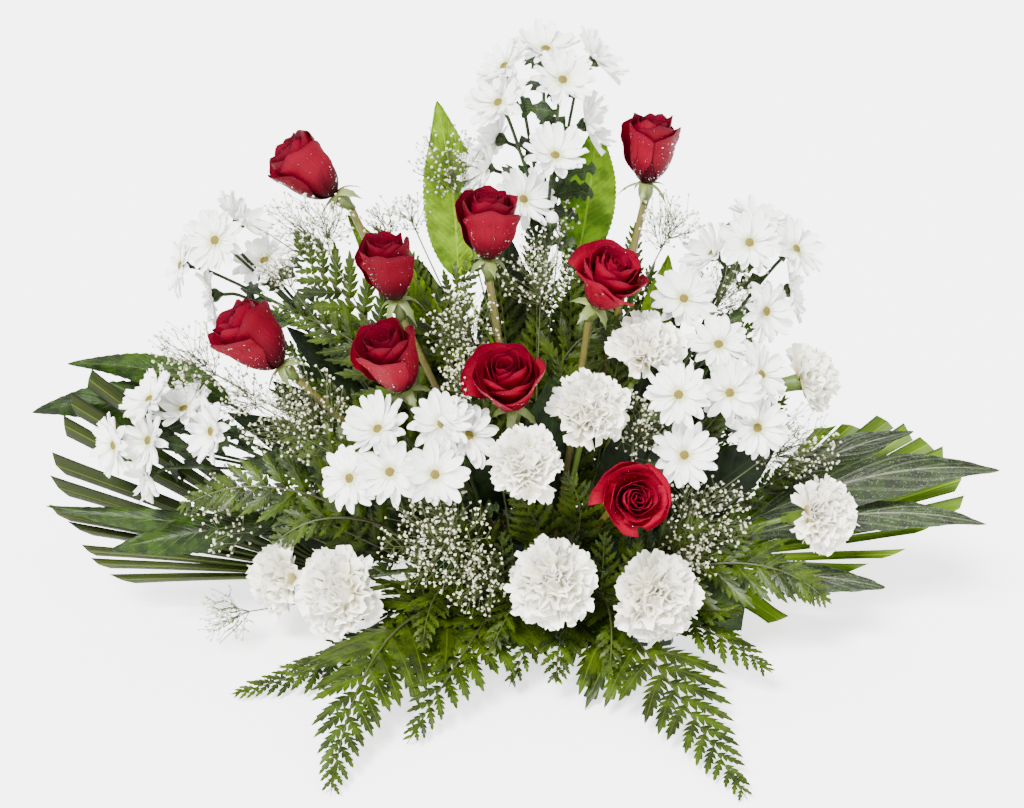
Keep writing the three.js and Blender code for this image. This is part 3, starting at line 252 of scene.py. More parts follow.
# Meshes
class Skin:
    """Collects the corners and faces of one piece. Each corner keeps how far it is across and along
    its own blade, and the blade's own shade, for the materials to read."""

    def __init__(self):
        self.corners = []
        self.faces = []
        self.marks = []

    def corner(self, place, across, along, shade):
        self.corners.append(place)
        self.marks.append((across, along, shade, 1))
        return len(self.corners) - 1

    def sheet(self, across, along, place, shade):
        """A blade over a grid. place(u, v) gives it for u from -1 to 1 and v from 0 to 1."""
        first = len(self.corners)
        for j in range(along + 1):
            for i in range(across + 1):
                u, v = 2 * i / across - 1, j / along
                self.corner(place(u, v), u, v, shade)
        for j in range(along):
            for i in range(across):
                a = first + j * (across + 1) + i
                self.faces.append((a, a + 1, a + across + 2, a + across + 1))

    def tube(self, points, radii, sides, shade):
        """A closed round stem through the points."""
        across = Vector((0.31, 0.83, 0.47))
        rings = []
        for k, middle in enumerate(points):
            along = (points[min(k + 1, len(points) - 1)] - points[max(k - 1, 0)]).normalized()
            across = (across - along * across.dot(along)).normalized()
            other = along.cross(across)
            rings.append([self.corner(
                middle + (across * math.cos(turn) + other * math.sin(turn)) * radii[k],
                turn / math.pi - 1, k / (len(points) - 1), shade)
                for turn in (2 * math.pi * j / sides for j in range(sides))])
        for lower, upper in zip(rings, rings[1:]):
            for j in range(sides):
                n = (j + 1) % sides
                self.faces.append((lower[j], lower[n], upper[n], upper[j]))
        self.faces.append(tuple(reversed(rings[0])))
        self.faces.append(tuple(rings[-1]))

    def dome(self, at, axis, radius, height, sides, shade):
        """A drop, bead or floret of a disc: a low dome, closed underneath."""
        place = frame_at(at, axis)
        rings = [[self.corner(place @ Vector((reach * radius * math.cos(turn),
                                              reach * radius * math.sin(turn), rise * height)),
                              0, rise, shade)
                  for turn in (2 * math.pi * j / sides for j in range(sides))]
                 for reach, rise in ((1, 0), (0.72, 0.7))]
        top = self.corner(place @ Vector((0, 0, height)), 0, 1, shade)
        for j in range(sides):
            n = (j + 1) % sides
            self.faces.append((rings[0][j], rings[0][n], rings[1][n], rings[1][j]))
            self.faces.append((rings[1][j], rings[1][n], top))
        self.faces.append(tuple(reversed(rings[0])))


# Folds sharper than this keep a hard edge
SHARP_FOLD = math.radians(80)


def make(node, part, skin, material, thickness=0):
    """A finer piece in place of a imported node. A thickness turns its open blades into thin solids."""
    name = f"{node}_{part}"
    mesh = bpy.data.meshes.new(name)
    mesh.from_pydata([place * MM for place in skin.corners], [], skin.faces)
    marks = mesh.attributes.new("blade", "FLOAT_COLOR", "POINT")
    marks.data.foreach_set("color", [value for mark in skin.marks for value in mark])
    mesh.polygons.foreach_set("use_smooth", [True] * len(mesh.polygons))
    mesh.set_sharp_from_angle(angle=SHARP_FOLD)
    mesh.materials.append(MATERIALS[material])
    piece = bpy.data.objects.new(name, mesh)
    bpy.context.scene.collection.objects.link(piece)
    if thickness:
        body = piece.modifiers.new("thickness", "SOLIDIFY")
        body.thickness = thickness * MM
        body.offset = 0
        piece.modifiers.new("face_normals", "WEIGHTED_NORMAL")
    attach(piece, "root")
    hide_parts(node)


# Materials
def rgb(text):
    """The linear colour of an sRGB hex value."""
    def linear(c):
        return c / 12.92 if c <= 0.04045 else ((c + 0.055) / 1.055) ** 2.4
    return tuple(linear(int(text[i:i + 2], 16) / 255) for i in (1, 3, 5)) + (1,)


def add_node(tree, inputs, kind, output=None, **settings):
    """Adds a node with its settings, and each input as a value or a link. Gives the output that is
    named, or else all of them."""
    made = tree.nodes.new(kind)
    for name, value in settings.items():
        setattr(made, name, value)
    for name, value in inputs.items():
        if isinstance(value, bpy.types.NodeSocket):
            tree.links.new(value, made.inputs[name])
        else:
            made.inputs[name].default_value = value
    return made.outputs if output is None else made.outputs[output]


# What add_node is told for the nodes that come up often, and the three inputs of a colour mix
RAMP = dict(kind="ShaderNodeMapRange", output="Result", interpolation_type="SMOOTHSTEP")
COLOUR_MIX = dict(kind="ShaderNodeMix", output=2, data_type="RGBA")
FACTOR, FIRST, SECOND = 0, 6, 7
ADD, SUBTRACT, MULTIPLY, ABSOLUTE, SINE = (
    dict(kind="ShaderNodeMath", output="Value", operation=operation)
    for operation in ("ADD", "SUBTRACT", "MULTIPLY", "ABSOLUTE", "SINE"))
OBJECT_PLACE = dict(kind="ShaderNodeTexCoord", output="Object")


def finish(name, roughness, paint, **shader):
    """A material whose colour, relief and depth of relief in millimetres come from paint(tree, marks).
    The marks are how far a point is across and along its own blade, and the blade's own shade."""
    material = bpy.data.materials.new(name)
    material.use_nodes = True
    tree = material.node_tree
    tree.nodes.clear()
    blade = add_node(tree, {}, "ShaderNodeAttribute", "Vector", attribute_name="blade")
    marks = add_node(tree, {"Vector": blade}, "ShaderNodeSeparateXYZ")
    colour, relief, depth = paint(tree, marks)
    bump = add_node(tree, {"Height": relief, "Distance": depth * MM, "Strength": 1.0},
                    "ShaderNodeBump", "Normal")
    surface = add_node(tree, {"Base Color": colour, "Roughness": roughness, "Normal": bump, **shader},
                       "ShaderNodeBsdfPrincipled", "BSDF")
    add_node(tree, {"Surface": surface}, "ShaderNodeOutputMaterial")
    return material


def even_finish(name, sockets):
    """A material that is the same all over."""
    material = bpy.data.materials.new(name)
    material.use_nodes = True
    surface = material.node_tree.nodes["Principled BSDF"]
    for socket, value in sockets.items():
        surface.inputs[socket].default_value = value
    return material


def mottling(tree, size, detail=3):
    """Soft lumps all over the piece, of the given size in millimetres."""
    place = add_node(tree, {}, **OBJECT_PLACE)
    return add_node(tree, {"Vector": place, "Scale": 1 / (size * MM), "Detail": detail},
                    "ShaderNodeTexNoise", "Fac")


# How far apart two blades' lines lie in the noise, so that no two blades are alike
BLADES_APART = 40


def fine_lines(tree, marks, across, along):
    """Lines drawn out along the blade: so many across it, and so many breaks along it."""
    spread = add_node(tree, {"X": marks["X"], "Y": marks["Y"], "Z": marks["Z"]},
                      "ShaderNodeCombineXYZ", "Vector")
    scaled = add_node(tree, {0: spread, 1: (across, along, BLADES_APART)},
                      "ShaderNodeVectorMath", "Vector", operation="MULTIPLY")
    return add_node(tree, {"Vector": scaled, "Scale": 1.0, "Detail": 2}, "ShaderNodeTexNoise", "Fac")


def shaded(tree, colour, shade, low, high):
    """The colour made darker or lighter by the blade's own shade."""
    value = add_node(tree, {"Value": shade, "To Min": low, "To Max": high},
                     "ShaderNodeMapRange", "Result")
    return add_node(tree, {"Color": colour, "Value": value}, "ShaderNodeHueSaturation", "Color")


def rose_petal():
    # Crimson rose petal: velvet of tiny cone cells over fine lengthwise veins, painted shade at its
    # root
    def paint(tree, marks):
        veins = fine_lines(tree, marks, 26, 3)
        # Painted shade: near black at the petal's root, deep inside the bloom, turning crimson higher
        # up
        height = add_node(tree, {"Value": marks["Y"], "From Min": 0.05, "From Max": 0.75}, **RAMP)
        body = add_node(tree, {FACTOR: height, FIRST: rgb("#260009"), SECOND: rgb("#6c0018")},
                        **COLOUR_MIX)
        lip = add_node(tree, {"Value": marks["Y"], "From Min": 0.93, "From Max": 1.0}, **RAMP)
        rim = add_node(tree, {FACTOR: lip, FIRST: body, SECOND: rgb("#5c0018")}, **COLOUR_MIX)
        dark = add_node(tree, {"Value": veins, "From Min": 0.5, "From Max": 0.8, "To Max": 0.4}, **RAMP)
        veined = add_node(tree, {FACTOR: dark, FIRST: rim, SECOND: rgb("#3c000e")}, **COLOUR_MIX)
        velvet = add_node(tree, {0: mottling(tree, 0.5), 1: 0.5}, **MULTIPLY)
        relief = add_node(tree, {0: veins, 1: velvet}, **ADD)
        return shaded(tree, veined, marks["Z"], 0.4, 1.7), relief, 0.4
    return finish("rose_petal_velvet", 0.55, paint, **{
        "Sheen Weight": 0.01, "Sheen Roughness": 0.35, "Sheen Tint": rgb("#ff1430"),
        "Specular IOR Level": 0.08})


def white_petal(name, root, tip, root_end, veins_across, depth):
    # White petal: soft and matt, lets some light through, with faint veins and a tinted root
    def paint(tree, marks):
        veins = fine_lines(tree, marks, veins_across, 1.5)
        height = add_node(tree, {"Value": marks["Y"], "From Min": 0.05, "From Max": root_end}, **RAMP)
        body = add_node(tree, {FACTOR: height, FIRST: rgb(root), SECOND: rgb(tip)}, **COLOUR_MIX)
        grey = add_node(tree, {"Value": veins, "From Min": 0.5, "From Max": 0.85, "To Max": 0.25},
                        **RAMP)
        veined = add_node(tree, {FACTOR: grey, FIRST: body, SECOND: rgb("#cfcdbc")}, **COLOUR_MIX)
        return shaded(tree, veined, marks["Z"], 0.94, 1.02), veins, depth
    return finish(name, 0.6, paint, **{
        "Subsurface Weight": 0.15, "Subsurface Radius": (1.0, 0.95, 0.8), "Subsurface Scale": 1.5 * MM,
        "Specular IOR Level": 0.25})


# How light spreads in a leaf: most of it green
LEAF_GLOW = {"Subsurface Radius": (0.6, 1.0, 0.2), "Subsurface Scale": 2 * MM}


def green_leaf(name, dark, light, rib, gloss, veins, slant, line, depth, glow,
               lump=14, painted_dew_glints=0.1, shine=0.15):
    # Living leaf: waxy skin, mottled green, paler midrib, side veins pressed in, fine dew as painted
    # glints
    def paint(tree, marks):
        side = add_node(tree, {0: marks["X"]}, **ABSOLUTE)
        patches = add_node(tree, {"Value": mottling(tree, lump), "From Min": 0.35, "From Max": 0.65},
                           **RAMP)
        body = add_node(tree, {FACTOR: patches, FIRST: rgb(dark), SECOND: rgb(light)}, **COLOUR_MIX)
        midrib = add_node(tree, {"Value": side, "From Min": 0.02, "From Max": 0.06,
                                 "To Min": 0.7, "To Max": -0.3}, **RAMP)
        ribbed = add_node(tree, {FACTOR: midrib, FIRST: body, SECOND: rgb(rib)}, **COLOUR_MIX)
        lag = add_node(tree, {0: side, 1: slant}, **MULTIPLY)
        course = add_node(tree, {0: marks["Y"], 1: lag}, **SUBTRACT)
        turn = add_node(tree, {0: course, 1: 2 * math.pi * veins}, **MULTIPLY)
        crest = add_node(tree, {"Value": add_node(tree, {0: turn}, **SINE),
                                "From Min": 0.3, "From Max": 1.0}, **RAMP)
        drawn = add_node(tree, {0: crest, 1: line}, **MULTIPLY)
        lined = add_node(tree, {FACTOR: drawn, FIRST: ribbed, SECOND: rgb(rib)}, **COLOUR_MIX)
        grain = mottling(tree, 1.2)
        # Painted highlights: white specks in the colour stand for the glints of fine dew drops
        dew = add_node(tree, {"Value": grain, "From Min": 0.58, "From Max": 0.7, "To Max": painted_dew_glints},
                       **RAMP)
        with_painted_glints = add_node(tree, {FACTOR: dew, FIRST: lined, SECOND: rgb("#c3cabd")}, **COLOUR_MIX)
        pressed = add_node(tree, {0: crest, 1: 0.8}, **MULTIPLY)
        relief = add_node(tree, {0: grain, 1: pressed}, **SUBTRACT)
        return shaded(tree, with_painted_glints, marks["Z"], 0.65, 1.25), relief, depth
    return finish(name, gloss, paint, **{
        "Specular IOR Level": shine, "Subsurface Weight": glow}, **LEAF_GLOW)


def palm_leaf(name, base, light, edge, crest):
    # Palm leaf: tough ribbed strip with fine parallel lines, satin, yellow-green with darker edges
    def paint(tree, marks):
        side = add_node(tree, {0: marks["X"]}, **ABSOLUTE)
        ribs = fine_lines(tree, marks, 16, 1.2)
        pale = add_node(tree, {"Value": ribs, "From Min": 0.3, "From Max": 0.7}, **RAMP)
        body = add_node(tree, {FACTOR: pale, FIRST: rgb(base), SECOND: rgb(light)}, **COLOUR_MIX)
        margin = add_node(tree, {"Value": side, "From Min": 0.72, "From Max": 1.0}, **RAMP)
        edged = add_node(tree, {FACTOR: margin, FIRST: body, SECOND: rgb(edge)}, **COLOUR_MIX)
        middle = add_node(tree, {"Value": side, "From Min": 0.0, "From Max": 0.1,
                                 "To Min": 1.0, "To Max": 0.0}, **RAMP)
        crested = add_node(tree, {FACTOR: middle, FIRST: edged, SECOND: rgb(crest)}, **COLOUR_MIX)
        return shaded(tree, crested, marks["Z"], 0.7, 1.2), ribs, 0.3
    return finish(name, 0.4, paint, **{
        "Specular IOR Level": 0.15, "Subsurface Weight": 0.1}, **LEAF_GLOW)


def waxy_stem(name, low, high, gloss, lump=6):
    # Waxy stem skin, changing from one tone to the other along the stem
    def paint(tree, marks):
        patches = add_node(tree, {0: mottling(tree, lump), 1: 0.25}, **MULTIPLY)
        height = add_node(tree, {0: marks["Y"], 1: patches}, **ADD)
        body = add_node(tree, {FACTOR: height, FIRST: rgb(low), SECOND: rgb(high)}, **COLOUR_MIX)
        return shaded(tree, body, marks["Z"], 0.8, 1.15), mottling(tree, 0.8), 0.15
    return finish(name, gloss, paint)


def wet_foam():
    # Phenolic floral foam, soaked: open pores of about half a millimetre, drawn at 1 mm to show
    def paint(tree, marks):
        pores = add_node(tree, {"Vector": add_node(tree, {}, **OBJECT_PLACE), "Scale": 1 / (1.0 * MM)},
                         "ShaderNodeTexVoronoi", "Distance")
        # Painted shade: each pore's hollow is darker than the walls between the pores
        walls_over_painted_pore_shade = add_node(tree, {"Value": pores, "From Min": 0.1, "From Max": 0.6}, **RAMP)
        body = add_node(tree, {FACTOR: walls_over_painted_pore_shade, FIRST: rgb("#0b1810"), SECOND: rgb("#18301f")},
                        **COLOUR_MIX)
        damp = add_node(tree, {"Value": mottling(tree, 18), "From Min": 0.4, "From Max": 0.7}, **RAMP)
        stained = add_node(tree, {FACTOR: damp, FIRST: body, SECOND: rgb("#132618")}, **COLOUR_MIX)
        return stained, pores, 0.6
    return finish("wet_floral_foam", 0.55, paint, **{"Specular IOR Level": 0.1})


def moulded_tray():
    # Moulded polypropylene: semi-gloss with a faint flow texture
    def paint(tree, marks):
        flow = add_node(tree, {"Value": mottling(tree, 30), "From Min": 0.3, "From Max": 0.7}, **RAMP)
        body = add_node(tree, {FACTOR: flow, FIRST: rgb("#101f15"), SECOND: rgb("#182b1d")},
                        **COLOUR_MIX)
        return body, mottling(tree, 0.6, 2), 0.05
    return finish("moulded_polypropylene", 0.4, paint, **{"Specular IOR Level": 0.2})


MATERIALS = {
    "rose": rose_petal(),
    "rose_green": waxy_stem("rose_stem_waxy", "#57521a", "#46360e", 0.4),
    "rose_calyx": waxy_stem("rose_calyx_waxy", "#6c763a", "#4c5a26", 0.45),
    "carnation": white_petal("carnation_petal", "#ecdfa4", "#fffcf0",
                             root_end=0.9, veins_across=18, depth=0.2),
    "carnation_green": waxy_stem("carnation_stem_waxy", "#4c6212", "#36480c", 0.5),
    "daisy": white_petal("daisy_petal", "#c9cb9c", "#f4f4f1", root_end=0.35, veins_across=5, depth=0.5),
    "daisy_disc": waxy_stem("daisy_disc_florets", "#3a4000", "#6e5e00", 0.65, lump=2),
    "daisy_green": green_leaf("daisy_leaf_and_stem", "#111d0a", "#263610", "#45522a", gloss=0.45,
                              veins=9, slant=0.3, line=0.2, depth=0.3, glow=0.05, lump=9),
    "fern": green_leaf("fern_leaflet_glossy", "#172000", "#2f3e00", "#465410", gloss=0.36,
                       veins=4, slant=0.3, line=0.0, depth=0.15, glow=0.08, painted_dew_glints=0.05, shine=0.16),
    "fern_rachis": waxy_stem("fern_rachis", "#2e271c", "#343c14", 0.45),
    "palm_left": palm_leaf("palm_leaf_ribbed_dark", "#121800", "#263000", "#0c0e02", "#465206"),
    "palm_right": palm_leaf("palm_leaf_ribbed", "#344800", "#526c00", "#243400", "#667e14"),
    "lime": green_leaf("lime_leaf_satin", "#364800", "#587200", "#70801c", gloss=0.42,
                       veins=12, slant=0.18, line=0.1, depth=0.5, glow=0.25, painted_dew_glints=0.03, shine=0.1),
    "dark": green_leaf("dark_leaf_glossy", "#101c02", "#223604", "#34440e", gloss=0.34,
                       veins=12, slant=0.2, line=0.05, depth=0.3, glow=0.05, painted_dew_glints=0.04, shine=0.12),
    # Painted shade: leaves behind the flowers in near-black matt stand for the shade deep inside
    "shade_backing": green_leaf("leaf_painted_deep_shade_matt", "#0b1403", "#16240a", "#22300f", gloss=0.5,
                          veins=8, slant=0.2, line=0.05, depth=0.3, glow=0, painted_dew_glints=0),
    # Pleated leaf: the pale lines on its crests are veins and painted sheen of the lit ridges
    "grey": green_leaf("pleated_leaf_veins_and_painted_sheen", "#0e1604", "#1a2808", "#5c6444", gloss=0.36, veins=5,
                       slant=0.42, line=0.18, depth=0.6, glow=0.03, lump=12, painted_dew_glints=0.14, shine=0.22),
    "breath": white_petal("babys_breath_floret", "#3c4818", "#bdbba2",
                          root_end=0.6, veins_across=4, depth=0.1),
    "breath_thread": waxy_stem("babys_breath_thread", "#2c340e", "#40481e", 0.5),
    # Water beads: clear and smooth, so that they catch a small bright light
    "water": even_finish("water_beads", {
        "Base Color": (1, 1, 1, 1), "Roughness": 0.03, "IOR": 1.33, "Transmission Weight": 1.0}),
    "foam": wet_foam(),
    "tray": moulded_tray(),
}

# Stems and where they run
FRONT = Vector((0, -0.94, 0.34))
# What leaves and stalks keep clear of: each bloom's middle, radius, half its depth, and its axis
BLOOMS = [(Vector(rose["at"]) + facing(rose["tilt"], rose["toward"]) * rose["height"] * 0.5,
           rose["width"] * 0.5, rose["height"] * 0.5, facing(rose["tilt"], rose["toward"]))
          for rose in ROSES]
BLOOMS += [(Vector(flower["at"]), flower["width"] * 0.5, flower["width"] * 0.4,
            facing(flower["tilt"], flower["toward"])) for flower in CARNATIONS]
DAISIES = [(Vector(at), DAISY_WIDTH * 0.45, 5, facing(tilt, toward))
           for spray in DAISY_SPRAYS.values() for at, tilt, toward in spray["heads"]]


def is_clear(place, margin, face=0):
    """Whether a place is off every bloom, and off the air in front of it to the given depth, both
    before its face and on the front side of the arrangement."""
    for middle, radius, depth, axis in (BLOOMS + DAISIES if face else BLOOMS):
        offset = place - middle
        rise = offset.dot(axis)
        if -depth - margin < rise < depth + margin + face:
            if offset.length_squared - rise * rise < (radius + margin) ** 2:
                return False
        before = offset.dot(FRONT)
        if face and 0 < before < face * 2:
            if offset.length_squared - before * before < (radius * 0.9 + margin) ** 2:
                return False
    return True


def ray_to(place):
    """The cut end of the stem that reaches a place, its direction and its length."""
    reach = place - HEART
    low, high = 0.0, 1000.0
    for _ in range(50):
        middle = (low + high) / 2
        share = Vector([reach[k] / (CUT_ENDS[k] + middle) for k in range(3)])
        if share.length > 1:
            low = middle
        else:
            high = middle
    direction = share.normalized()
    return HEART + times(direction, CUT_ENDS), direction, low


def way_out(start, direction):
    """How far a stem runs from its cut end until it is clear of the foam."""
    middle = Vector((0, 0, FOAM_LIFT + FOAM.z / 2))
    return STRAIGHT_PAST_FOAM + min(
        (middle[k] + math.copysign(FOAM[k] / 2, direction[k]) - start[k]) / direction[k]
        for k in range(3) if abs(direction[k]) > 1e-6)


def stem_path(base, axis, drop):
    """From the underside of a bloom down its axis, and then straight to the cut end in the foam."""
    neck = base - axis * drop
    start, direction, length = ray_to(neck)
    out = way_out(start, direction)
    return [neck, start + direction * lerp(out, length, 0.55), start + direction * out, start]


def carrying_peg(skin, spot, sides, top_radius):
    """The peg in the foam that carries a whole bunch. Gives its upper end."""
    spot = Vector(spot)
    into = times(spot - HEART, PEG_LEAN).normalized()
    top = spot + into * PEG_OUT
    skin.tube([spot - into * PEG_DEPTH, top], [PEG_RADIUS, top_radius], sides, 0.5)
    return top


# How far aside a stalk may bend, and the number of ways that are tried at each
DETOURS = (0, 6, 12, 18, 25, 33, 42)
DETOUR_WAYS = 8


def route(start, end, rise):
    """A stalk's bent path, kept off the blooms: the first of the wider and wider ways round."""
    along = end - start
    side = along.cross(UP).normalized()
    upper = side.cross(along).normalized()
    half_way = start.lerp(end, 0.5)
    for far in DETOURS:
        for k in range(DETOUR_WAYS if far else 1):
            turn = 2 * math.pi * k / DETOUR_WAYS
            middle = half_way + upper * (rise * along.length + far * math.cos(turn))
            middle += side * far * math.sin(turn)
            probes = [start.lerp(middle, t) for t in (0.4, 0.7, 1)]
            probes += [middle.lerp(end, t) for t in (0.3, 0.6, 0.9)]
            if all(is_clear(probe, 3) for probe in probes):
                return [start, middle, end]
    return [start, half_way + upper * rise * along.length, end]


def side_stalk(skin, top, root, rise, radii, sides, rng):
    """A stalk from the top of a peg to the root of a frond, a blade or a cloud."""
    points, radii = spline(route(top, root, rise), radii, 8)
    skin.tube(points, radii, sides, rng.random())


def blade_path(path, face):
    """The way along a frond or leaf: at(t) gives its middle, and its ways along, aside and outward."""
    start, bend, end = (Vector(p) for p in path)
    control = 2 * bend - 0.5 * start - 0.5 * end
    upper = Vector(face).normalized()

    def at(t):
        middle = start * (1 - t) ** 2 + control * 2 * t * (1 - t) + end * t * t
        along = ((control - start) * (1 - t) + (end - control) * t).normalized()
        side = along.cross(upper).normalized()
        return middle, along, side, side.cross(along)
    return at


def above_table(place):
    """The place, lifted where a leaf would go through the table."""
    place.z = max(place.z, TABLE_CLEAR)
    return place


# Roses
ROSE_PETALS = 20
ROSE_PETAL_GRID = (14, 11)
ROSE_PETAL_THICKNESS = 0.45
HIP_RADIUS = 3.8
DEW_DROPS = 320
DEW_RADIUS = (0.35, 0.85)


def rose_petal_shape(k, rose, outer, bloom, rng):
    """Petal k, counted from the heart of the rose outward, as place(u, v)."""
    height, opened = rose["height"], rose["open"]
    f = k / (ROSE_PETALS - 1)
    turn = k * GOLDEN_ANGLE + rng.uniform(-0.25, 0.25)
    spread = lerp(2.2, 1.15, f ** 0.5)
    lip = outer * lerp(0.01, lerp(0.08, 0.36, opened), smooth(0.3, 0.9, f))
    lip_from = lerp(0.74, 0.5, opened)
    tight = lerp(0.06, 0.4, f / 0.5) if f < 0.5 else lerp(0.4, 1.0, (f - 0.5) / 0.5)
    rim = outer * lerp(lerp(0.08, 0.99, f ** 0.85), tight, opened) * rng.uniform(0.96, 1.04)
    flare = lerp(-0.24, lerp(0.05, 0.2, opened), f)
    reach = (rim - 0.8 * lip) / (1 + flare)
    top = height * (lerp(0.93, lerp(0.9, 0.84, opened), f ** 2) + 0.05 * math.sin(math.pi * f))
    top *= rng.uniform(0.96, 1.03)
    twist = lerp(0.2, 0.12, f)
    lean, shift = rng.uniform(-0.06, 0.06), rng.random() * 6
    wave, ripple = rng.random() * 6, rng.random() * 6
    cusp = lerp(0.01, 0.06, smooth(0.2, 0.7, f))

    def place(u, v):
        belly = math.sin(min(1, v / 0.7) * math.pi / 2) ** 0.85
        radius = lerp(HIP_RADIUS, reach, belly) * (1 + flare * smooth(0.4, 1, v))
        radius *= 1 + twist * u * min(1, 2 * v)
        over = smooth(lip_from, 1, v)
        radius += lip * over * (0.85 + 0.15 * u * u)
        radius += 0.7 * math.sin(6 * u + wave) * v * v + 0.35 * math.sin(15 * u + ripple) * v ** 4
        rise = top * (0.15 * v + 0.85 * v ** 1.35)
        rise -= top * 0.14 * abs(u) ** 3 * v * v + lip * over ** 2 * (0.45 + 0.6 * u * u)
        rise += height * cusp * math.exp(-(u / 0.22) ** 2) * v ** 6
        rise += 0.9 * math.sin(5 * u + ripple) * v ** 3
        angle = turn + u * spread * min(1, 0.3 + 1.2 * v)
        radius *= 1 + lean * math.cos(angle - shift) * v
        return bloom @ Vector((radius * math.cos(angle), radius * math.sin(angle), rise))
    return place


def rose_bloom(name, rose, rng):
    """The petals, from the heart outward, and the beads of dew on them."""
    axis = facing(rose["tilt"], rose["toward"])
    bloom = frame_at(Vector(rose["at"]), axis, rng.random() * math.pi)
    outer, opened = rose["width"] / 2 * 0.97, rose["open"]
    skin, dew = Skin(), Skin()
    places = []
    for k in range(ROSE_PETALS):
        place = rose_petal_shape(k, rose, outer, bloom, rng)
        # Each petal's tone is random within a range that rises as the rose opens: painted light that
        # lifts the open roses, whose hearts lie in shade, and darkens the closed ones
        skin.sheet(*ROSE_PETAL_GRID, place, lerp(0.75 * opened, 0.3 + 0.7 * opened, rng.random()))
        places.append(place)
    for _ in range(DEW_DROPS):
        inside = rng.random() < 0.15 + 0.55 * opened
        place = rng.choice(places[-12:] if inside else places[-5:])
        u, v = rng.uniform(-0.9, 0.9), rng.uniform(0.7, 0.98) if inside else rng.uniform(0.15, 0.97)
        spot = place(u, v)
        normal = (place(u + 0.02, v) - spot).cross(place(u, v + 0.02) - spot).normalized()
        if inside:
            normal = -normal
        size = lerp(*DEW_RADIUS, rng.random() ** 2)
        dew.dome(spot + normal * ROSE_PETAL_THICKNESS * 0.5, normal, size, size * 0.75, 4, 0)
    make(name, "petals", skin, "rose", ROSE_PETAL_THICKNESS)
    make(name, "dew", dew, "water")


ROSE_STEM = 2.7
THORNS = 6
SEPALS = 5
SEPAL_THICKNESS = 0.4


def rose_stem(name, rose, rng):
    """The hip and its sepals as one piece, and the thorny stem down to the foam as another."""
    axis = facing(rose["tilt"], rose["toward"])
    base = Vector(rose["at"])
    hip = [(0.5, 4.6), (3, 5.6), (7, 6.3), (11, 5.6), (15, 3.8), (20, 3.1)]
    calyx, green = Skin(), Skin()
    calyx.tube([base - axis * below for below, _ in hip], [radius for _, radius in hip], 12,
               rng.random())
    path = stem_path(base, axis, 17)
    points, radii = spline(path, [3.1, ROSE_STEM, ROSE_STEM, ROSE_STEM], 7)
    green.tube(points, radii, 10, rng.random())
    for k in range(THORNS):
        spot = points[int(lerp(2, len(points) * 0.6, k / THORNS))]
        out = Vector((rng.uniform(-1, 1), rng.uniform(-1, 1), 0)).normalized()
        green.tube([spot + out * 1.8, spot + out * 4.4 - UP * 1.2], [1.1, 0.15], 5, rng.random())
    bloom = frame_at(base, axis, rng.random() * math.pi)
    for k in range(SEPALS):
        turn = 2 * math.pi * k / SEPALS
        fall, length, lobe = rng.uniform(0.25, 1.0), rng.uniform(18, 24), rng.uniform(0.5, 0.7)

        def place(u, v):
            half = rose["sepal"] * math.sin(math.pi * (0.3 + 0.7 * v)) ** 0.8 * (1 - v) ** 0.3
            half += 1.3 * math.exp(-((v - lobe) / 0.05) ** 2)
            out = length * v * (1 - 0.25 * fall * v)
            spot = Vector((out + 2.5, u * half, -0.5 - length * fall * v * v - 1.6 * u * u * (1 - v)))
            return bloom @ (Matrix.Rotation(turn, 4, "Z") @ spot)

        calyx.sheet(4, 16, place, rng.random())
    make(name, "calyx", calyx, "rose_calyx", SEPAL_THICKNESS)
    make(name, "stalk", green, "rose_green")


# Carnations
GUARD_PETALS = 13
GUARD_GRID = (15, 4)
INNER_PETALS = 46
INNER_GRID = (9, 4)
WHITE_PETAL_THICKNESS = 0.35
GREEN_THICKNESS = 0.3


def carnation_petal(skin, grid, start, tip, side, half, rock, rng):
    """A fan-shaped petal that waves from side to side and ends in a toothed rim."""
    along = (tip - start).normalized()
    side = (side - along * side.dot(along)).normalized()
    normal = along.cross(side)
    length = (tip - start).length
    waves, phase = rng.uniform(1.8, 3.4), rng.random() * 6
    teeth, bend = grid[0] / 2, rng.uniform(-0.12, 0.12) * length
    fringe = rng.random() * 6

    def place(u, v):
        depth = 0.05 + 0.05 * math.sin(9 * u + fringe)
        tooth = abs((u * teeth + teeth) % 2 - 1) * depth * smooth(0.7, 1, v)
        w = v * (1 - tooth - 0.14 * u * u + 0.05 * math.sin(4 * u + fringe))
        swing = rock * math.sin(math.pi * waves * u * 0.5 + phase) * v ** 1.5
        swing += 0.4 * rock * math.sin(math.pi * waves * 1.9 * u + 2 * phase) * v ** 3
        breadth = u * half * (0.12 + 0.88 * v ** 1.3)
        return start + along * length * w + side * breadth + normal * (swing + bend * w * w)

    skin.sheet(*grid, place, rng.random())


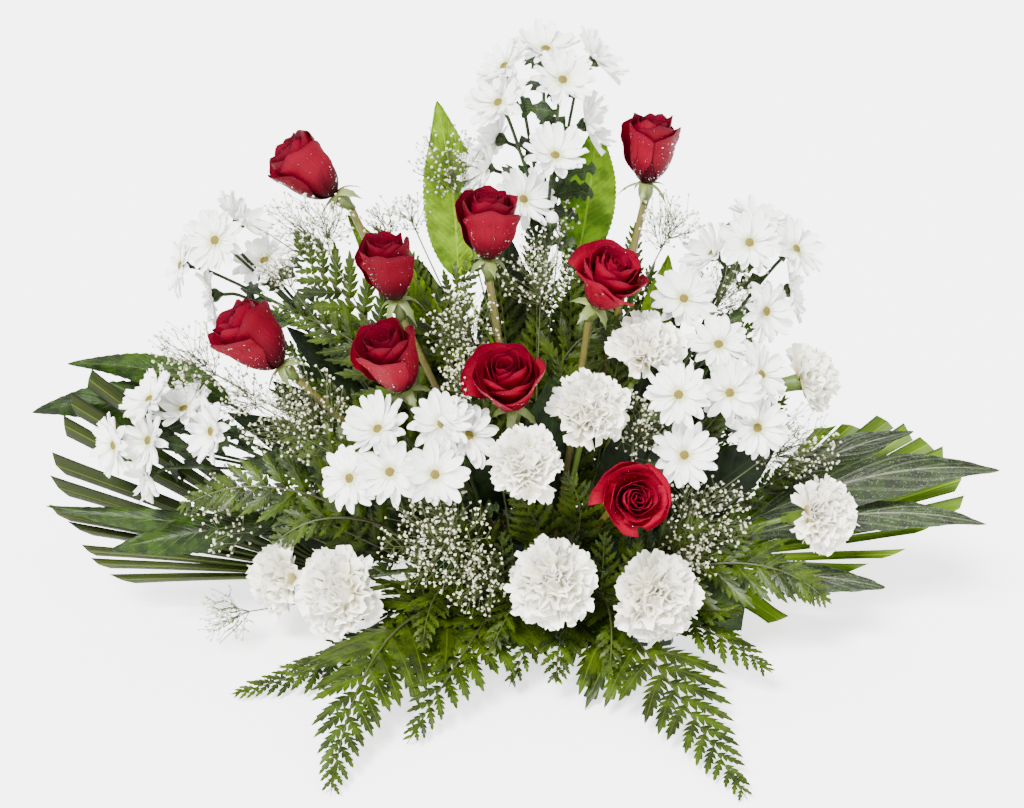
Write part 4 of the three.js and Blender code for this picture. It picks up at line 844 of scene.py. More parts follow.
def carnation_bloom(name, flower, rng):
    """A collar of guard petals round a ball of crinkled ones."""
    axis = facing(flower["tilt"], flower["toward"])
    base = Vector(flower["at"]) - axis * CARNATION_DEPTH
    bloom = frame_at(base, axis, rng.random() * math.pi)
    turn_only = bloom.to_3x3()
    outer = flower["width"] / 2
    skin = Skin()
    skin.dome(base + axis * outer * 0.05, axis, outer * 0.46, outer * 0.58, 12, 0.4)

    def petal(grid, lean, turn, root, reach, half, rock, spin):
        """A petal that leans out from the axis, turned about it, and spun about its own length."""
        aim = Vector((math.sin(lean) * math.cos(turn), math.sin(lean) * math.sin(turn), math.cos(lean)))
        round_way = Vector((-math.sin(turn), math.cos(turn), 0))
        other = aim.cross(round_way)
        side = round_way * math.cos(spin) + other * math.sin(spin)
        start = Vector((root * math.cos(turn), root * math.sin(turn), 0))
        tip = Vector((0, 0, outer * 0.22)) + aim * reach
        carnation_petal(skin, grid, bloom @ start, bloom @ tip, turn_only @ side, half, rock, rng)

    for k in range(GUARD_PETALS):
        lean = math.radians(rng.uniform(84, 106) if k % 2 else rng.uniform(66, 88))
        petal(GUARD_GRID, lean, k * GOLDEN_ANGLE, 4, outer * rng.uniform(0.84, 1.06),
              outer * 0.4, outer * 0.1, rng.uniform(-0.35, 0.35))
    for k in range(INNER_PETALS):
        f = math.sqrt((k + 0.5) / INNER_PETALS)
        lean = math.radians(76 * f) + rng.uniform(-0.14, 0.14)
        petal(INNER_GRID, lean, k * GOLDEN_ANGLE, 4 * f,
              outer * lerp(0.82, 0.87, f) * rng.uniform(0.88, 1.06), outer * rng.uniform(0.24, 0.34),
              outer * 0.12, rng.uniform(-1, 1) * lerp(1.5, 0.7, f))
    make(name, "petals", skin, "carnation", WHITE_PETAL_THICKNESS)


def carnation_stem(name, flower, rng):
    """The smooth calyx, the scales under it, and the stem down to the foam."""
    axis = facing(flower["tilt"], flower["toward"])
    base = Vector(flower["at"]) - axis * CARNATION_DEPTH
    skin = Skin()
    calyx = [(-1, 7.4), (3, 7.0), (10, 6.4), (18, 6.2), (24, 5.4), (28, 3.6), (31, 2.3), (36, 2.0)]
    skin.tube([base - axis * below for below, _ in calyx], [radius for _, radius in calyx], 12, 0.7)
    bloom = frame_at(base, axis, rng.random())
    # The teeth at the mouth of the calyx, and the four scales at its foot
    for level, count, length, out in ((1, 5, 9, 8.6), (-27, 4, 9, 6.4)):
        for k in range(count):
            turn = 2 * math.pi * k / count

            def place(u, v):
                half = 3.2 * (1 - v) ** 0.7
                spot = Vector((out - 1.6 + 1.2 * v - 0.6 * u * u, u * half, level - 3 + length * v))
                return bloom @ (Matrix.Rotation(turn, 4, "Z") @ spot)

            skin.sheet(4, 4, place, rng.random())
    path = stem_path(base, axis, 32)
    points, radii = spline(path, [2.1, 2, 2, 2], 7)
    skin.tube(points, radii, 8, rng.random())
    make(name, "green", skin, "carnation_green", GREEN_THICKNESS)


# Daisies
DAISY_PETALS = 21
OUTER_ROW = 0.58
DISC = 4.1
DISC_FLORETS = 40
BUD_PETALS = 8
# Where leaves grow along a head's branch, and how often a clear way is looked for
LEAF_SPOTS = (0.3, 0.5, 0.75)
LEAF_TRIES = 6


def daisy_head(petals, disc, green, at, axis, branch_end, rng):
    """Two rows of petals round a domed disc of florets. Gives the points of the head's branch."""
    head = frame_at(at, axis, rng.random() * math.pi)
    cup = rng.uniform(1, 12)
    for k in range(DAISY_PETALS):
        turn = k * GOLDEN_ANGLE
        inner = k >= DAISY_PETALS * OUTER_ROW
        length = (DAISY_WIDTH / 2 - 3.2) * (0.84 if inner else 1) * rng.uniform(0.88, 1.04)
        half = rng.uniform(3.5, 4.5)
        rise = cup + (6 if inner else 0) + rng.uniform(-2.5, 2.5)
        sway, roll = rng.uniform(-3, 3), rng.uniform(-0.5, 0.5)
        dip = rng.uniform(1, 4.5)

        def place(u, v):
            width = half * math.sin(math.pi * (0.1 + 0.82 * v ** 1.1)) ** 0.5
            width *= 0.5 + 0.5 * smooth(0, 0.5, v)
            notch = 1.6 * smooth(0.8, 1, v) * u * u
            out = 2.8 + length * v - notch
            lift = 1.5 + rise * v * v - dip * v ** 3 + 1.3 * u * u * smooth(0, 0.4, v)
            lift += roll * u * width
            lift += 0.45 * math.cos(2 * math.pi * u) * smooth(0, 0.3, v)
            spot = Vector((out, u * width + sway * v * v, lift))
            return head @ (Matrix.Rotation(turn, 4, "Z") @ spot)

        petals.sheet(4, 5, place, rng.random())
    for k in range(DISC_FLORETS):
        out = DISC * math.sqrt((k + 0.5) / DISC_FLORETS)
        turn = k * GOLDEN_ANGLE
        rise = 3.0 - 1.8 * (out / DISC) ** 2
        spot = head @ Vector((out * math.cos(turn), out * math.sin(turn), rise))
        disc.dome(spot, axis, 0.5, 0.9, 4, out / DISC)
    disc.dome(head @ Vector((0, 0, 1.2)), axis, DISC, 2.0, 14, 0.2)
    return stalk_of_head(green, at, axis, branch_end, 6, rng)


def stalk_of_head(green, at, axis, branch_end, cup_radius, rng):
    """The green cup under a head or bud, and its branch down to the fork. Gives the branch's points."""
    cup_rings = [(1.2, 0.85), (-0.8, 1.0), (-3, 0.85), (-5, 0.5), (-7, 0.28)]
    green.tube([at + axis * rise for rise, _ in cup_rings],
               [cup_radius * share for _, share in cup_rings], 10, 0.8)
    points, radii = spline([at - axis * 6, (at - axis * 18).lerp(branch_end, 0.12), branch_end],
                           [1.5, 1.25, 1.3], 5)
    green.tube(points, radii, 6, rng.random())
    return points


def daisy_bud(petals, green, at, axis, branch_end, rng):
    """A closed bud: its cream petals folded over each other in a ball."""
    head = frame_at(at, axis)
    for k in range(BUD_PETALS):
        turn = k * GOLDEN_ANGLE

        def place(u, v):
            swell = (5 - 0.2 * k) * math.sin(math.pi * (0.12 + 0.86 * v)) ** 0.7
            angle = turn + u * 0.75
            return head @ Vector((swell * math.cos(angle), swell * math.sin(angle), 11 * v - 1))

        petals.sheet(4, 6, place, rng.random())
    stalk_of_head(green, at, axis, branch_end, 4.5, rng)


def lobed_leaf(skin, start, direction, face, length, rng):
    """A chrysanthemum leaf: blunt lobes with deep bays between them."""
    side = direction.cross(face).normalized()
    normal = side.cross(direction)
    shade, droop = rng.random(), rng.uniform(0.1, 0.4)

    def place(u, v):
        lobes = 0.62 + 0.38 * math.cos(2 * math.pi * (3.2 * v + 0.25 * abs(u)))
        half = length * 0.30 * math.sin(math.pi * min(1, 0.1 + 0.9 * v)) ** 0.6 * lobes
        forward = length * (v + 0.16 * abs(u) * math.sin(math.pi * v))
        return start + direction * forward + side * u * half + normal * (
            -droop * length * v * v - 0.12 * half * u * u)

    skin.sheet(4, 12, place, shade)


def daisy_spray(name, spray, rng):
    """A stem that forks to its heads and buds, with lobed leaves along the branches."""
    fork = Vector(spray["fork"])
    start, direction, _ = ray_to(fork)
    petals, disc, green = Skin(), Skin(), Skin()
    green.tube([start, fork + direction * 6], [1.8, 1.7], 8, rng.random())
    for at, tilt, toward in spray["heads"]:
        axis = facing(tilt, toward)
        branch_end = fork - direction * rng.uniform(0, 30)
        points = daisy_head(petals, disc, green, Vector(at), axis, branch_end, rng)
        for share in LEAF_SPOTS:
            spot = points[int(share * len(points))]
            for _ in range(LEAF_TRIES):
                out = Vector((rng.uniform(-1, 1), rng.uniform(-0.6, 1), rng.uniform(-0.3, 0.6)))
                out = out.normalized()
                length = rng.uniform(24, 38)
                if all(is_clear(spot + out * length * s, 2, 30) for s in (0.3, 0.55, 0.8, 1)):
                    lobed_leaf(green, spot, out, Vector((0, -0.8, 0.6)), length, rng)
                    break
    for at in spray.get("buds", ()):
        daisy_bud(petals, green, Vector(at), UP, fork, rng)
    make(name, "petals", petals, "daisy", WHITE_PETAL_THICKNESS)
    make(name, "discs", disc, "daisy_disc")
    make(name, "green", green, "daisy_green", GREEN_THICKNESS)


# Ferns
# How much air in front of a bloom is kept free of leaflets
FACE_DEPTH = 35
RACHIS_STEPS = 14
# The bare share of a frond's length, where it starts from a peg and where it starts in the foam
BARE_FROM_PEG = 0.03
BARE_FROM_FOAM = 0.16

# More fronds that fill the arrangement between the blooms, each straight out of the foam: root, bend
# and tip of the rachis, the longest pinna, and the way the face looks
FILLING = {
    "fern_upper": [
        (((-60, 26, 66), (-105, 34, 170), (-178, 30, 262)), 48, OUTWARD),
        (((-45, 30, 66), (-72, 40, 190), (-112, 36, 312)), 48, OUTWARD),
        (((-22, 32, 66), (-30, 46, 200), (-44, 42, 322)), 50, OUTWARD),
        (((5, 32, 66), (18, 44, 190), (20, 38, 322)), 50, OUTWARD),
        (((25, 30, 66), (52, 38, 180), (88, 34, 300)), 48, OUTWARD),
        (((-30, 4, 66), (-50, -8, 160), (-70, -20, 232)), 44, OUTWARD),
        (((15, 4, 66), (22, -10, 150), (8, -30, 240)), 44, OUTWARD),
        (((-52, 20, 66), (-90, 20, 150), (-150, 10, 215)), 46, OUTWARD),
        (((-35, 18, 66), (-52, 14, 160), (-92, 4, 262)), 46, OUTWARD),
        (((-12, 20, 66), (-8, 22, 170), (-8, 16, 292)), 46, OUTWARD),
        (((30, 18, 66), (46, 16, 150), (62, 6, 250)), 46, OUTWARD),
        (((8, 36, 66), (0, 56, 200), (-12, 56, 352)), 50, OUTWARD),
        (((-50, 36, 66), (-85, 56, 190), (-140, 52, 330)), 48, OUTWARD),
        (((36, 36, 66), (60, 52, 190), (72, 50, 330)), 48, OUTWARD)],
    "fern_back": [
        (((45, 28, 66), (92, 34, 160), (150, 30, 262)), 48, OUTWARD),
        (((65, 22, 66), (120, 24, 130), (200, 18, 190)), 46, OUTWARD),
        (((80, 10, 66), (140, 4, 96), (214, -4, 140)), 42, OUTWARD),
        (((55, 14, 66), (105, 8, 130), (158, -4, 212)), 46, OUTWARD),
        (((70, 34, 66), (120, 48, 160), (180, 46, 270)), 46, OUTWARD)],
    "fern_left": [
        (((-75, 22, 66), (-130, 24, 130), (-222, 18, 186)), 44, OUTWARD),
        (((-80, 4, 66), (-145, -6, 110), (-232, -14, 140)), 42, OUTWARD),
        (((-60, -10, 66), (-110, -40, 130), (-165, -55, 180)), 40, OUTWARD),
        (((-92, -20, 50), (-160, -30, 90), (-225, -30, 126)), 40, OUTWARD),
        (((-60, 30, 66), (-130, 40, 150), (-225, 40, 236)), 44, OUTWARD),
        (((-92, 0, 60), (-150, -14, 92), (-236, -24, 128)), 42, OUTWARD),
        (((-85, 14, 66), (-148, 16, 142), (-224, 8, 200)), 46, OUTWARD),
        (((-70, 10, 66), (-118, 6, 150), (-196, -6, 214)), 44, OUTWARD)],
    "fern_front_left": [
        (((-92, -53, 8), (-98, -62, 46), (-104, -66, 92)), 36, OUTWARD),
        (((-62, -53, 8), (-64, -62, 50), (-66, -68, 104)), 38, OUTWARD),
        (((-34, -53, 8), (-34, -62, 50), (-36, -68, 108)), 38, OUTWARD),
        (((-8, -53, 8), (-8, -62, 50), (-8, -68, 108)), 38, OUTWARD),
        (((-30, -40, 60), (-62, -84, 110), (-98, -104, 150)), 38, OUTWARD),
        (((-60, -40, 50), (-86, -90, 66), (-96, -150, 46)), 38, UPWARD),
        (((-10, -40, 50), (-22, -92, 66), (-46, -150, 40)), 40, UPWARD),
        (((-80, -30, 40), (-120, -80, 44), (-196, -150, 20)), 46, UPWARD),
        (((-92, -56, 24), (-160, -108, 16), (-244, -146, 6)), 50, UPWARD),
        (((-5, -45, 66), (-6, -70, 110), (-30, -96, 160)), 40, OUTWARD),
        (((-40, -45, 62), (-56, -74, 92), (-60, -110, 110)), 38, OUTWARD),
        (((-20, -54, 40), (-38, -90, 44), (-72, -142, 14)), 46, UPWARD),
        (((8, -54, 40), (-4, -92, 44), (-30, -146, 12)), 44, UPWARD),
        (((-90, -50, 40), (-132, -92, 22), (-214, -108, 8)), 40, UPWARD),
        (((-14, -30, 66), (-16, -56, 110), (-4, -84, 150)), 36, OUTWARD)],
    "fern_front_right": [
        (((16, -53, 8), (18, -62, 50), (20, -68, 108)), 38, OUTWARD),
        (((42, -53, 8), (44, -62, 50), (46, -68, 108)), 38, OUTWARD),
        (((66, -53, 8), (70, -62, 50), (74, -68, 104)), 38, OUTWARD),
        (((90, -53, 8), (98, -60, 44), (106, -64, 88)), 36, OUTWARD),
        (((12, -40, 66), (26, -70, 120), (14, -92, 166)), 38, OUTWARD),
        (((45, -40, 60), (84, -78, 96), (120, -96, 130)), 38, OUTWARD),
        (((30, -40, 45), (48, -96, 56), (46, -160, 30)), 40, UPWARD),
        (((62, -40, 40), (104, -84, 50), (150, -110, 60)), 40, UPWARD),
        (((20, -45, 50), (24, -80, 76), (44, -116, 96)), 38, OUTWARD),
        (((70, -40, 60), (110, -66, 86), (160, -76, 112)), 40, OUTWARD),
        (((30, -30, 66), (40, -56, 105), (52, -84, 140)), 36, OUTWARD)],
}


def pinnule(skin, root, direction, side, normal, length, half, shade):
    """One leaflet, closed all round: two faces that meet at its edge and part along its midrib."""
    bottom, tip = skin.corner(root, 0, 0, shade), skin.corner(root + direction * length, 0, 1, shade)
    middle = root + direction * length * 0.5
    ribs = [skin.corner(middle + normal * (half * 0.22 + part), 0, 0.5, shade) for part in (0.2, -0.15)]
    for hand in (-1, 1):
        edge = [skin.corner(root + direction * length * x + side * hand * half * y, 1, x, shade)
                for x, y in ((0.2, 0.85), (0.5, 1.0), (0.78, 0.6))]
        for rib, way in zip(ribs, (hand, -hand)):
            for face in ((bottom, edge[0], rib), (rib, edge[0], edge[1]), (rib, edge[1], edge[2], tip)):
                skin.faces.append(face if way > 0 else face[::-1])


def pinna(skin, rib, normal, reach, length, shade):
    """A side leaf of a frond, closed all round. Its lobes point forward, free near its foot and
    grown together toward its tip."""
    count = max(3, round(0.98 * math.sqrt(length)))
    pitch = 1 / count

    def at(x, out, lift):
        s = reach * min(x, 0.985)
        out *= min(1, (1.01 - x) / 0.14) if x < 0.985 else 0.15
        flank = (rib(s + 0.02) - rib(s)).cross(normal).normalized()
        return above_table(rib(s) + flank * out + normal * (lift - 0.12 * abs(out)))

    def half(x):
        return length * 0.23 * min(1, 0.7 + 2 * x) * (1 - x) ** 0.75 + 0.6

    tip = skin.corner(rib(reach), 0, 1, shade)
    ribs = [[skin.corner(at(i * pitch, 0, lift), 0, i * pitch, shade) for lift in (0.3, -0.3)]
            for i in range(count)] + [[tip, tip]]
    for hand in (-1, 1):
        grown = [lerp(0.1, 0.7, smooth(0.15, 0.9, i * pitch)) for i in range(count)]
        bays = [[skin.corner(at(i * pitch, hand * half(i * pitch) * grown[i], lift),
                             0.4, i * pitch, shade)
                 for lift in (0, -0.2)] for i in range(count)] + [[tip, tip]]
        closing = [(ribs[0][0], ribs[0][1], bays[0][1], bays[0][0])]
        for i in range(count):
            wide = half((i + 0.4) * pitch)
            ahead = wide * 0.9 / length
            bulge = hand * wide * lerp(grown[i], 1, 0.55)
            back = skin.corner(at((i - 0.1) * pitch + 0.5 * ahead, bulge, -0.25), 0.8, i * pitch, shade)
            front = skin.corner(at((i + 0.78) * pitch + 0.5 * ahead, bulge, 0.25),
                                0.8, i * pitch, shade)
            end = skin.corner(at((i + 0.35) * pitch + ahead, hand * wide, -0.1), 1, i * pitch, shade)
            for side, way, lift in ((0, hand, 0.35), (1, -hand, -0.25)):
                crown = skin.corner(at((i + 0.34) * pitch + 0.45 * ahead, bulge * 0.95, lift),
                                    0.7, i * pitch, shade)
                rim = [bays[i][side], back, end, front, bays[i + 1][side]]
                fan = [(rim[k], rim[(k + 1) % 5], crown) for k in range(5)]
                web = (ribs[i][side], bays[i][side], bays[i + 1][side], ribs[i + 1][side])
                for face in [web] + fan:
                    face = tuple(dict.fromkeys(face))
                    skin.faces.append(face if way > 0 else face[::-1])
            closing += [(bays[i][0], bays[i][1], back)]
            if i + 1 < count:
                closing += [(front, bays[i + 1][1], bays[i + 1][0])]
        skin.faces.extend(face if hand > 0 else face[::-1] for face in closing)


def fern_frond(leaf, stalk, path, width, face, bare, rng):
    """A frond of pinnae on both sides of its rachis, each shortened where a bloom is in its way."""
    at = blade_path(path, face)
    length = (at(1)[0] - at(0)[0]).length
    steps = [k / RACHIS_STEPS for k in range(RACHIS_STEPS + 1)]
    stalk.tube([above_table(at(step)[0]) for step in steps], [lerp(1.2, 0.3, step) for step in steps],
               6, rng.random())
    t, hand = bare, 1
    while t < 0.975:
        middle, along, side, normal = at(t)
        full = width * min(1, 0.8 + 2 * (t - bare)) * (1 - t) ** 0.85 + 5
        sweep = math.radians(lerp(28, 56, t) + rng.uniform(-5, 5))
        outward = (side * hand * math.cos(sweep) + along * math.sin(sweep)).normalized()
        droop, lift = rng.uniform(0.05, 0.25), rng.uniform(-0.12, 0.16)
        shade = min(1, max(0, 0.3 + 0.35 * t + rng.uniform(-0.3, 0.3)))

        def rib(s):
            bow = along * full * 0.1 * s * s
            rise = normal * full * (lift * s - droop * s * s)
            return above_table(middle + outward * full * s + bow + rise)

        def is_free(reach):
            return all(is_clear(rib(reach * s), 3, FACE_DEPTH) for s in (0.25, 0.5, 0.8, 1))

        reach = 1.0
        while reach > 0.1 and not is_free(reach):
            reach -= 0.12
        if reach > 0.25 and full * reach > 9:
            pinna(leaf, rib, normal, reach, full * reach, shade)
        elif reach > 0.25:
            ahead = (rib(reach) - middle).normalized()
            flank = ahead.cross(normal).normalized()
            pinnule(leaf, rib(0), ahead, flank, flank.cross(ahead), full * reach,
                    max(full * reach * 0.17, 1.3), shade)
        t += (0.155 * full + 1.7) / length
        hand = -hand
    middle, along, side, normal = at(0.9)
    if is_clear(middle + along * length * 0.1, 4, FACE_DEPTH):
        pinnule(leaf, middle, along, side, normal, length * 0.1 + 4, 2, 0.4)
    return at(0)[0]


def fern_bunch(name, bunch, rng):
    """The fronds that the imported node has, and the ones that fill in between the blooms."""
    leaf, stalk = Skin(), Skin()
    top = carrying_peg(stalk, bunch["peg"], 8, PEG_RADIUS * 0.8)
    for path, width, face in bunch["fronds"]:
        root = fern_frond(leaf, stalk, path, width, face, BARE_FROM_PEG, rng)
        side_stalk(stalk, top, root, 0.06, LEAF_STALK, 6, rng)
    for path, width, face in FILLING[name]:
        fern_frond(leaf, stalk, path, width, face, BARE_FROM_FOAM, rng)
    make(name, "leaflets", leaf, "fern")
    make(name, "stalks", stalk, "fern_rachis")


# Palm leaves
PLEAT = 4.2
PALM_THICKNESS = 0.5


def palm_leaf_piece(name, palm, rng):
    """A fan of pleated strips, cut off in a curve, on a stalk that runs into the foam."""
    hub = Vector(palm["hub"])
    tips = [Vector(tip) for tip in palm["tips"]]
    normal = (tips[0] - hub).cross(tips[-1] - hub).normalized()
    skin = Skin()

    def end_at(a):
        i = min(max(math.floor(a - 0.5), 0), len(tips) - 2)
        return tips[i].lerp(tips[i + 1], a - 0.5 - i)

    for j in range(len(tips)):
        cut, slant = rng.uniform(0.95, 1.0), rng.uniform(-0.035, -0.01)
        at_cut = min(palm["share"], palm["widest"][j] / (end_at(j + 1) - end_at(j)).length)
        sag = rng.uniform(-2, 4)

        def place(u, v):
            w = v * (cut + slant * u)
            share = lerp(1, at_cut, smooth(0.25, 0.95, w))
            a = j + 0.5 + 0.5 * u * share
            fold = (1 - abs(u)) * PLEAT * min(1, 0.15 + w)
            lift = fold + palm["bow"] * math.sin(math.pi * w)
            return hub.lerp(end_at(a), w) + normal * lift - UP * sag * w * w

        skin.sheet(6, 22, place, rng.random())
    start, direction, _ = ray_to(hub)
    out = start + direction * way_out(start, direction)
    points, radii = spline([start, out, hub, hub.lerp(tips[len(tips) // 2], 0.12)], [2, 2, 2.2, 0.8], 6)
    skin.tube(points, radii, 8, 0.4)
    make(name, "strips", skin, name, PALM_THICKNESS)


# Broad leaves
BLADE_THICKNESS = 0.45
WHOLE_BLADE = dict(slim=1.0, kept=1.0, grid=(12, 60), slot="dark_leaf")
LEAF_FORMS = {
    "lime": dict(WHOLE_BLADE, teeth=30, tooth=0.08, ridge=1.3, cup=0.1, veins=12, slant=0.18,
                 slot="lime_leaf"),
    "dark": dict(WHOLE_BLADE, teeth=20, tooth=0.1, ridge=0.5, cup=0.45, veins=12, slant=0.2, slim=0.95),
    "grey": dict(WHOLE_BLADE, teeth=40, tooth=0.03, ridge=1.3, cup=0.5, veins=5, slant=0.42,
                 slot="grey_leaf"),
    "shade_backing": dict(WHOLE_BLADE, teeth=12, tooth=0.05, ridge=0.5, cup=0.2, veins=8, slant=0.2,
                    grid=(8, 24)),
    "cut": dict(WHOLE_BLADE, teeth=20, tooth=0.08, ridge=0.9, cup=0.1, veins=7, slant=0.3, kept=0.58),
}


def broad_leaf(skin, path, width, face, form, rng):
    """A broad blade; only the kept share of its length is there where the florist cut it off."""
    at = blade_path(path, face)
    shade, sway, phase = rng.random(), rng.uniform(-1, 1), rng.random() * 6

    def place(u, v):
        middle, along, side, normal = at(v)
        w = v * form["kept"]
        taper = 1 - 0.25 * smooth(0.6, 1, w)
        half = width * form["slim"] / 2 * math.sin(math.pi * w ** 0.8) ** 0.75 * taper + 0.3
        saw = (v * form["teeth"]) % 1
        half *= 1 - form["tooth"] * saw * smooth(0.6, 1, abs(u))
        ridges = math.sin(2 * math.pi * form["veins"] * (v - form["slant"] * abs(u)))
        lift = -half * form["cup"] * abs(u) ** 1.3
        lift += form["ridge"] * ridges * abs(u) ** 0.7 * smooth(0, 0.15, v)
        lift += sway * u * half * 0.2 + 1.8 * math.sin(9 * v + phase + 2 * u) * abs(u)
        return middle + side * u * half + normal * lift

    skin.sheet(*form["grid"], place, shade)
    return at(0)[0]


def leaf_bunch(name, bunch, rng):
    """The blades of a bunch on their stalks, with the shade backing or the cut leaf that goes with
    them.
    """
    skin, form = Skin(), LEAF_FORMS[bunch["kind"]]
    top = carrying_peg(skin, bunch["peg"], 8, PEG_RADIUS)
    for path, width, face in bunch["blades"]:
        root = broad_leaf(skin, path, width, face, form, rng)
        side_stalk(skin, top, root, 0.04, LEAF_STALK, 8, rng)
    make(name, "blades", skin, bunch["kind"], BLADE_THICKNESS)
    # The leaves behind the flowers are near black and matt: painted shade deep in the arrangement
    if "shade_backing" in bunch:
        shade_backing, form = Skin(), LEAF_FORMS["shade_backing"]
        for path, width, face in bunch["shade_backing"]:
            root = broad_leaf(shade_backing, path, width, face, form, rng)
            shade_backing.tube([ray_to(root)[0], root], [1.5, 1.2], 6, rng.random())
        make(name, "shade_backing", shade_backing, "shade_backing", BLADE_THICKNESS)
    if "cut" in bunch:
        cut, form = Skin(), LEAF_FORMS["cut"]
        broad_leaf(cut, *bunch["cut"], form, rng)
        make(name, "cut_blade", cut, "dark", BLADE_THICKNESS)


# Baby's breath
FLORETS_PER_AREA = 0.2
FLORET = 1.45
FLORET_TIPS = 3
BOUGHS = 7
FORKED = 4


def floret(skin, at, axis, size, rng):
    """A double floret: a green calyx with a lower and an upper ruff of small petals."""
    head = frame_at(at, axis, rng.random() * 6)
    shade = rng.random()
    below = skin.corner(head @ Vector((0, 0, -size * 1.1)), 0, 0, shade)
    count = 2 * FLORET_TIPS
    rings = []
    for reach, rise, turn in ((1, 0.1, 0), (0.6, 0.6, 0.5)):
        ring = []
        for j in range(count):
            # Petal tips and the bays between them take turns round the ring
            share, lift, along = (1, 0.15, 0.9) if j % 2 else (0.6, 0, 0.6)
            angle = turn + 2 * math.pi * j / count
            ring.append(skin.corner(head @ Vector((
                size * reach * share * math.cos(angle), size * reach * share * math.sin(angle),
                size * (rise + lift))), 0, along, shade))
        rings.append(ring)
    top = skin.corner(head @ Vector((0, 0, size * 0.5)), 0, 0.8, shade)
    for j in range(count):
        n = (j + 1) % count
        skin.faces.append((below, rings[0][n], rings[0][j]))
        skin.faces.append((rings[0][j], rings[0][n], rings[1][n], rings[1][j]))
        skin.faces.append((rings[1][j], rings[1][n], top))


def breath_cloud(heads, threads, at, size, peg, rng):
    """A cloud of florets on boughs that part from one stalk and fork again to each few florets."""
    at = Vector(at)
    outward = (at - HEART).normalized()
    base = at - outward * size * 0.8
    side_stalk(threads, peg, base, 0.02, [0.9, 0.75, 0.6], 5, rng)
    spots = []
    wanted = round(size * size * FLORETS_PER_AREA) + 12
    for _ in range(wanted * 3):
        aim = Vector((rng.gauss(0, 1), rng.gauss(0, 1), rng.gauss(0, 1))).normalized()
        spot = at + aim * size * 1.12 * rng.random() ** 0.45 + outward * size * 0.1
        if spot.z > 5 and is_clear(spot, 1) and len(spots) < wanted:
            spots.append(spot)
    guides = [(outward + 0.9 * Vector((rng.gauss(0, 1), rng.gauss(0, 1), rng.gauss(0, 1)))).normalized()
              for _ in range(BOUGHS)]
    boughs = [[] for _ in guides]
    for spot in spots:
        aim = (spot - base).normalized()
        boughs[max(range(len(guides)), key=lambda g: aim.dot(guides[g]))].append(spot)
    for bough in boughs:
        if not bough:
            continue
        hub = base.lerp(sum(bough, Vector()) / len(bough), 0.35)
        threads.tube([base, hub], [0.5, 0.42], 3, rng.random())
        while bough:
            first = bough[0]
            bough.sort(key=lambda spot: (spot - first).length)
            group, bough = bough[:FORKED], bough[FORKED:]
            middle = sum(group, Vector()) / len(group)
            fork = middle + (hub - middle).normalized() * min(8, 0.4 * (hub - middle).length)
            sway = (fork - hub).length
            bend = hub.lerp(fork, 0.5) + Vector([rng.uniform(-0.12, 0.12) * sway for _ in range(3)])
            threads.tube([hub, bend, fork], [0.4, 0.36, 0.3], 3, rng.random())
            for spot in group:
                threads.tube([fork, spot - outward], [0.28, 0.22], 3, rng.random())
                floret(heads, spot, ((spot - fork).normalized() + outward * 0.4).normalized(),
                       FLORET * rng.uniform(0.75, 1.15), rng)


def breath_bunch(name, bunch, rng):
    """The clouds of florets that share one peg."""
    heads, threads = Skin(), Skin()
    top = carrying_peg(threads, bunch["peg"], 6, 1.2)
    for at, size in bunch["clouds"]:
        breath_cloud(heads, threads, at, size, top, rng)
    make(name, "florets", heads, "breath")
    make(name, "threads", threads, "breath_thread")


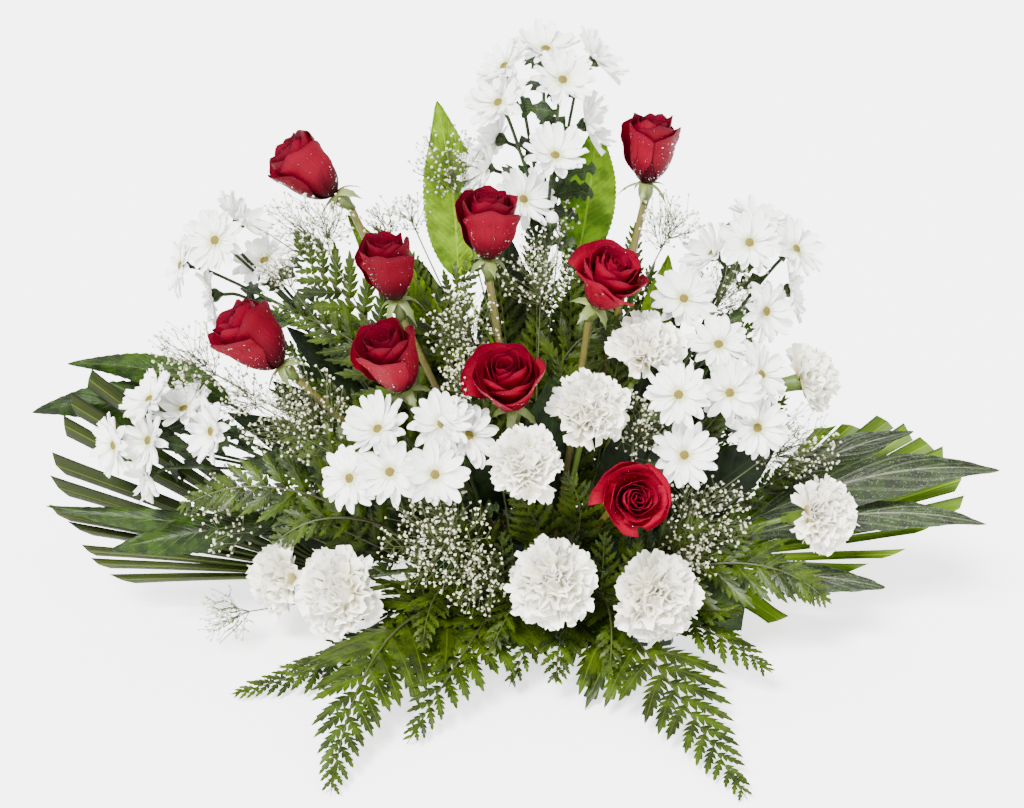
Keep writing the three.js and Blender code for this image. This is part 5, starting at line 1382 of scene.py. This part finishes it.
# The arrangement
for number, rose in enumerate(ROSES, 1):
    rose_bloom(f"rose_{number}", rose, random.Random(100 + number))
    rose_stem(f"rose_stem_{number}", rose, random.Random(130 + number))
for number, flower in enumerate(CARNATIONS, 1):
    carnation_bloom(f"carnation_{number}", flower, random.Random(200 + number))
    carnation_stem(f"carnation_stem_{number}", flower, random.Random(230 + number))
for seed, table, grow in ((300, DAISY_SPRAYS, daisy_spray), (400, FERNS, fern_bunch),
                          (500, PALMS, palm_leaf_piece), (600, LEAVES, leaf_bunch),
                          (700, BREATH, breath_bunch)):
    for number, (name, row) in enumerate(table.items()):
        grow(name, row, random.Random(seed + number))
for name in ("tray", "foam"):
    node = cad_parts[name]
    node.data.materials.clear()
    node.data.materials.append(MATERIALS[name])

# Floor: a light table of opal glass, whose even white glow makes the photograph's white ground
FLOOR = 30.0
floor_mesh = bpy.data.meshes.new("floor")
floor_mesh.from_pydata([(-FLOOR, -FLOOR, 0), (FLOOR, -FLOOR, 0), (FLOOR, FLOOR, 0), (-FLOOR, FLOOR, 0)],
                       [], [(0, 1, 2, 3)])
floor_mesh.materials.append(even_finish("opal_light_table", {
    "Base Color": rgb("#fafafa"), "Roughness": 0.9,
    "Emission Color": rgb("#ffffff"), "Emission Strength": 1.6}))
floor = bpy.data.objects.new("floor", floor_mesh)
bpy.context.scene.collection.objects.link(floor)

# Light and camera
world = bpy.data.worlds.new("studio")
world.use_nodes = True
world.node_tree.nodes["Background"].inputs["Color"].default_value = rgb("#ffffff")
world.node_tree.nodes["Background"].inputs["Strength"].default_value = 1.7
bpy.context.scene.world = world


def sun(name, strength, spread, height, turn):
    """A wide soft light. Its spread, its height over the floor and its turn are in degrees."""
    lamp = bpy.data.lights.new(name, "SUN")
    lamp.energy = strength
    lamp.angle = math.radians(spread)
    light = bpy.data.objects.new(name, lamp)
    light.rotation_euler = (math.radians(90 - height), 0, math.radians(turn))
    bpy.context.scene.collection.objects.link(light)


sun("key_light", strength=11, spread=20, height=48, turn=-28)
sun("fill_light", strength=1.2, spread=60, height=30, turn=40)

# The photograph's viewpoint: 20 degrees down, 1.45 m in front of the tray, 67 mm lens, in metres
lens = bpy.data.cameras.new("camera")
lens.lens = 66.97
lens.sensor_width = 36
camera = bpy.data.objects.new("camera", lens)
camera.location = (-0.0277, -1.453, 0.720)
camera.rotation_euler = (math.radians(70), 0, 0)
bpy.context.scene.collection.objects.link(camera)
bpy.context.scene.camera = camera
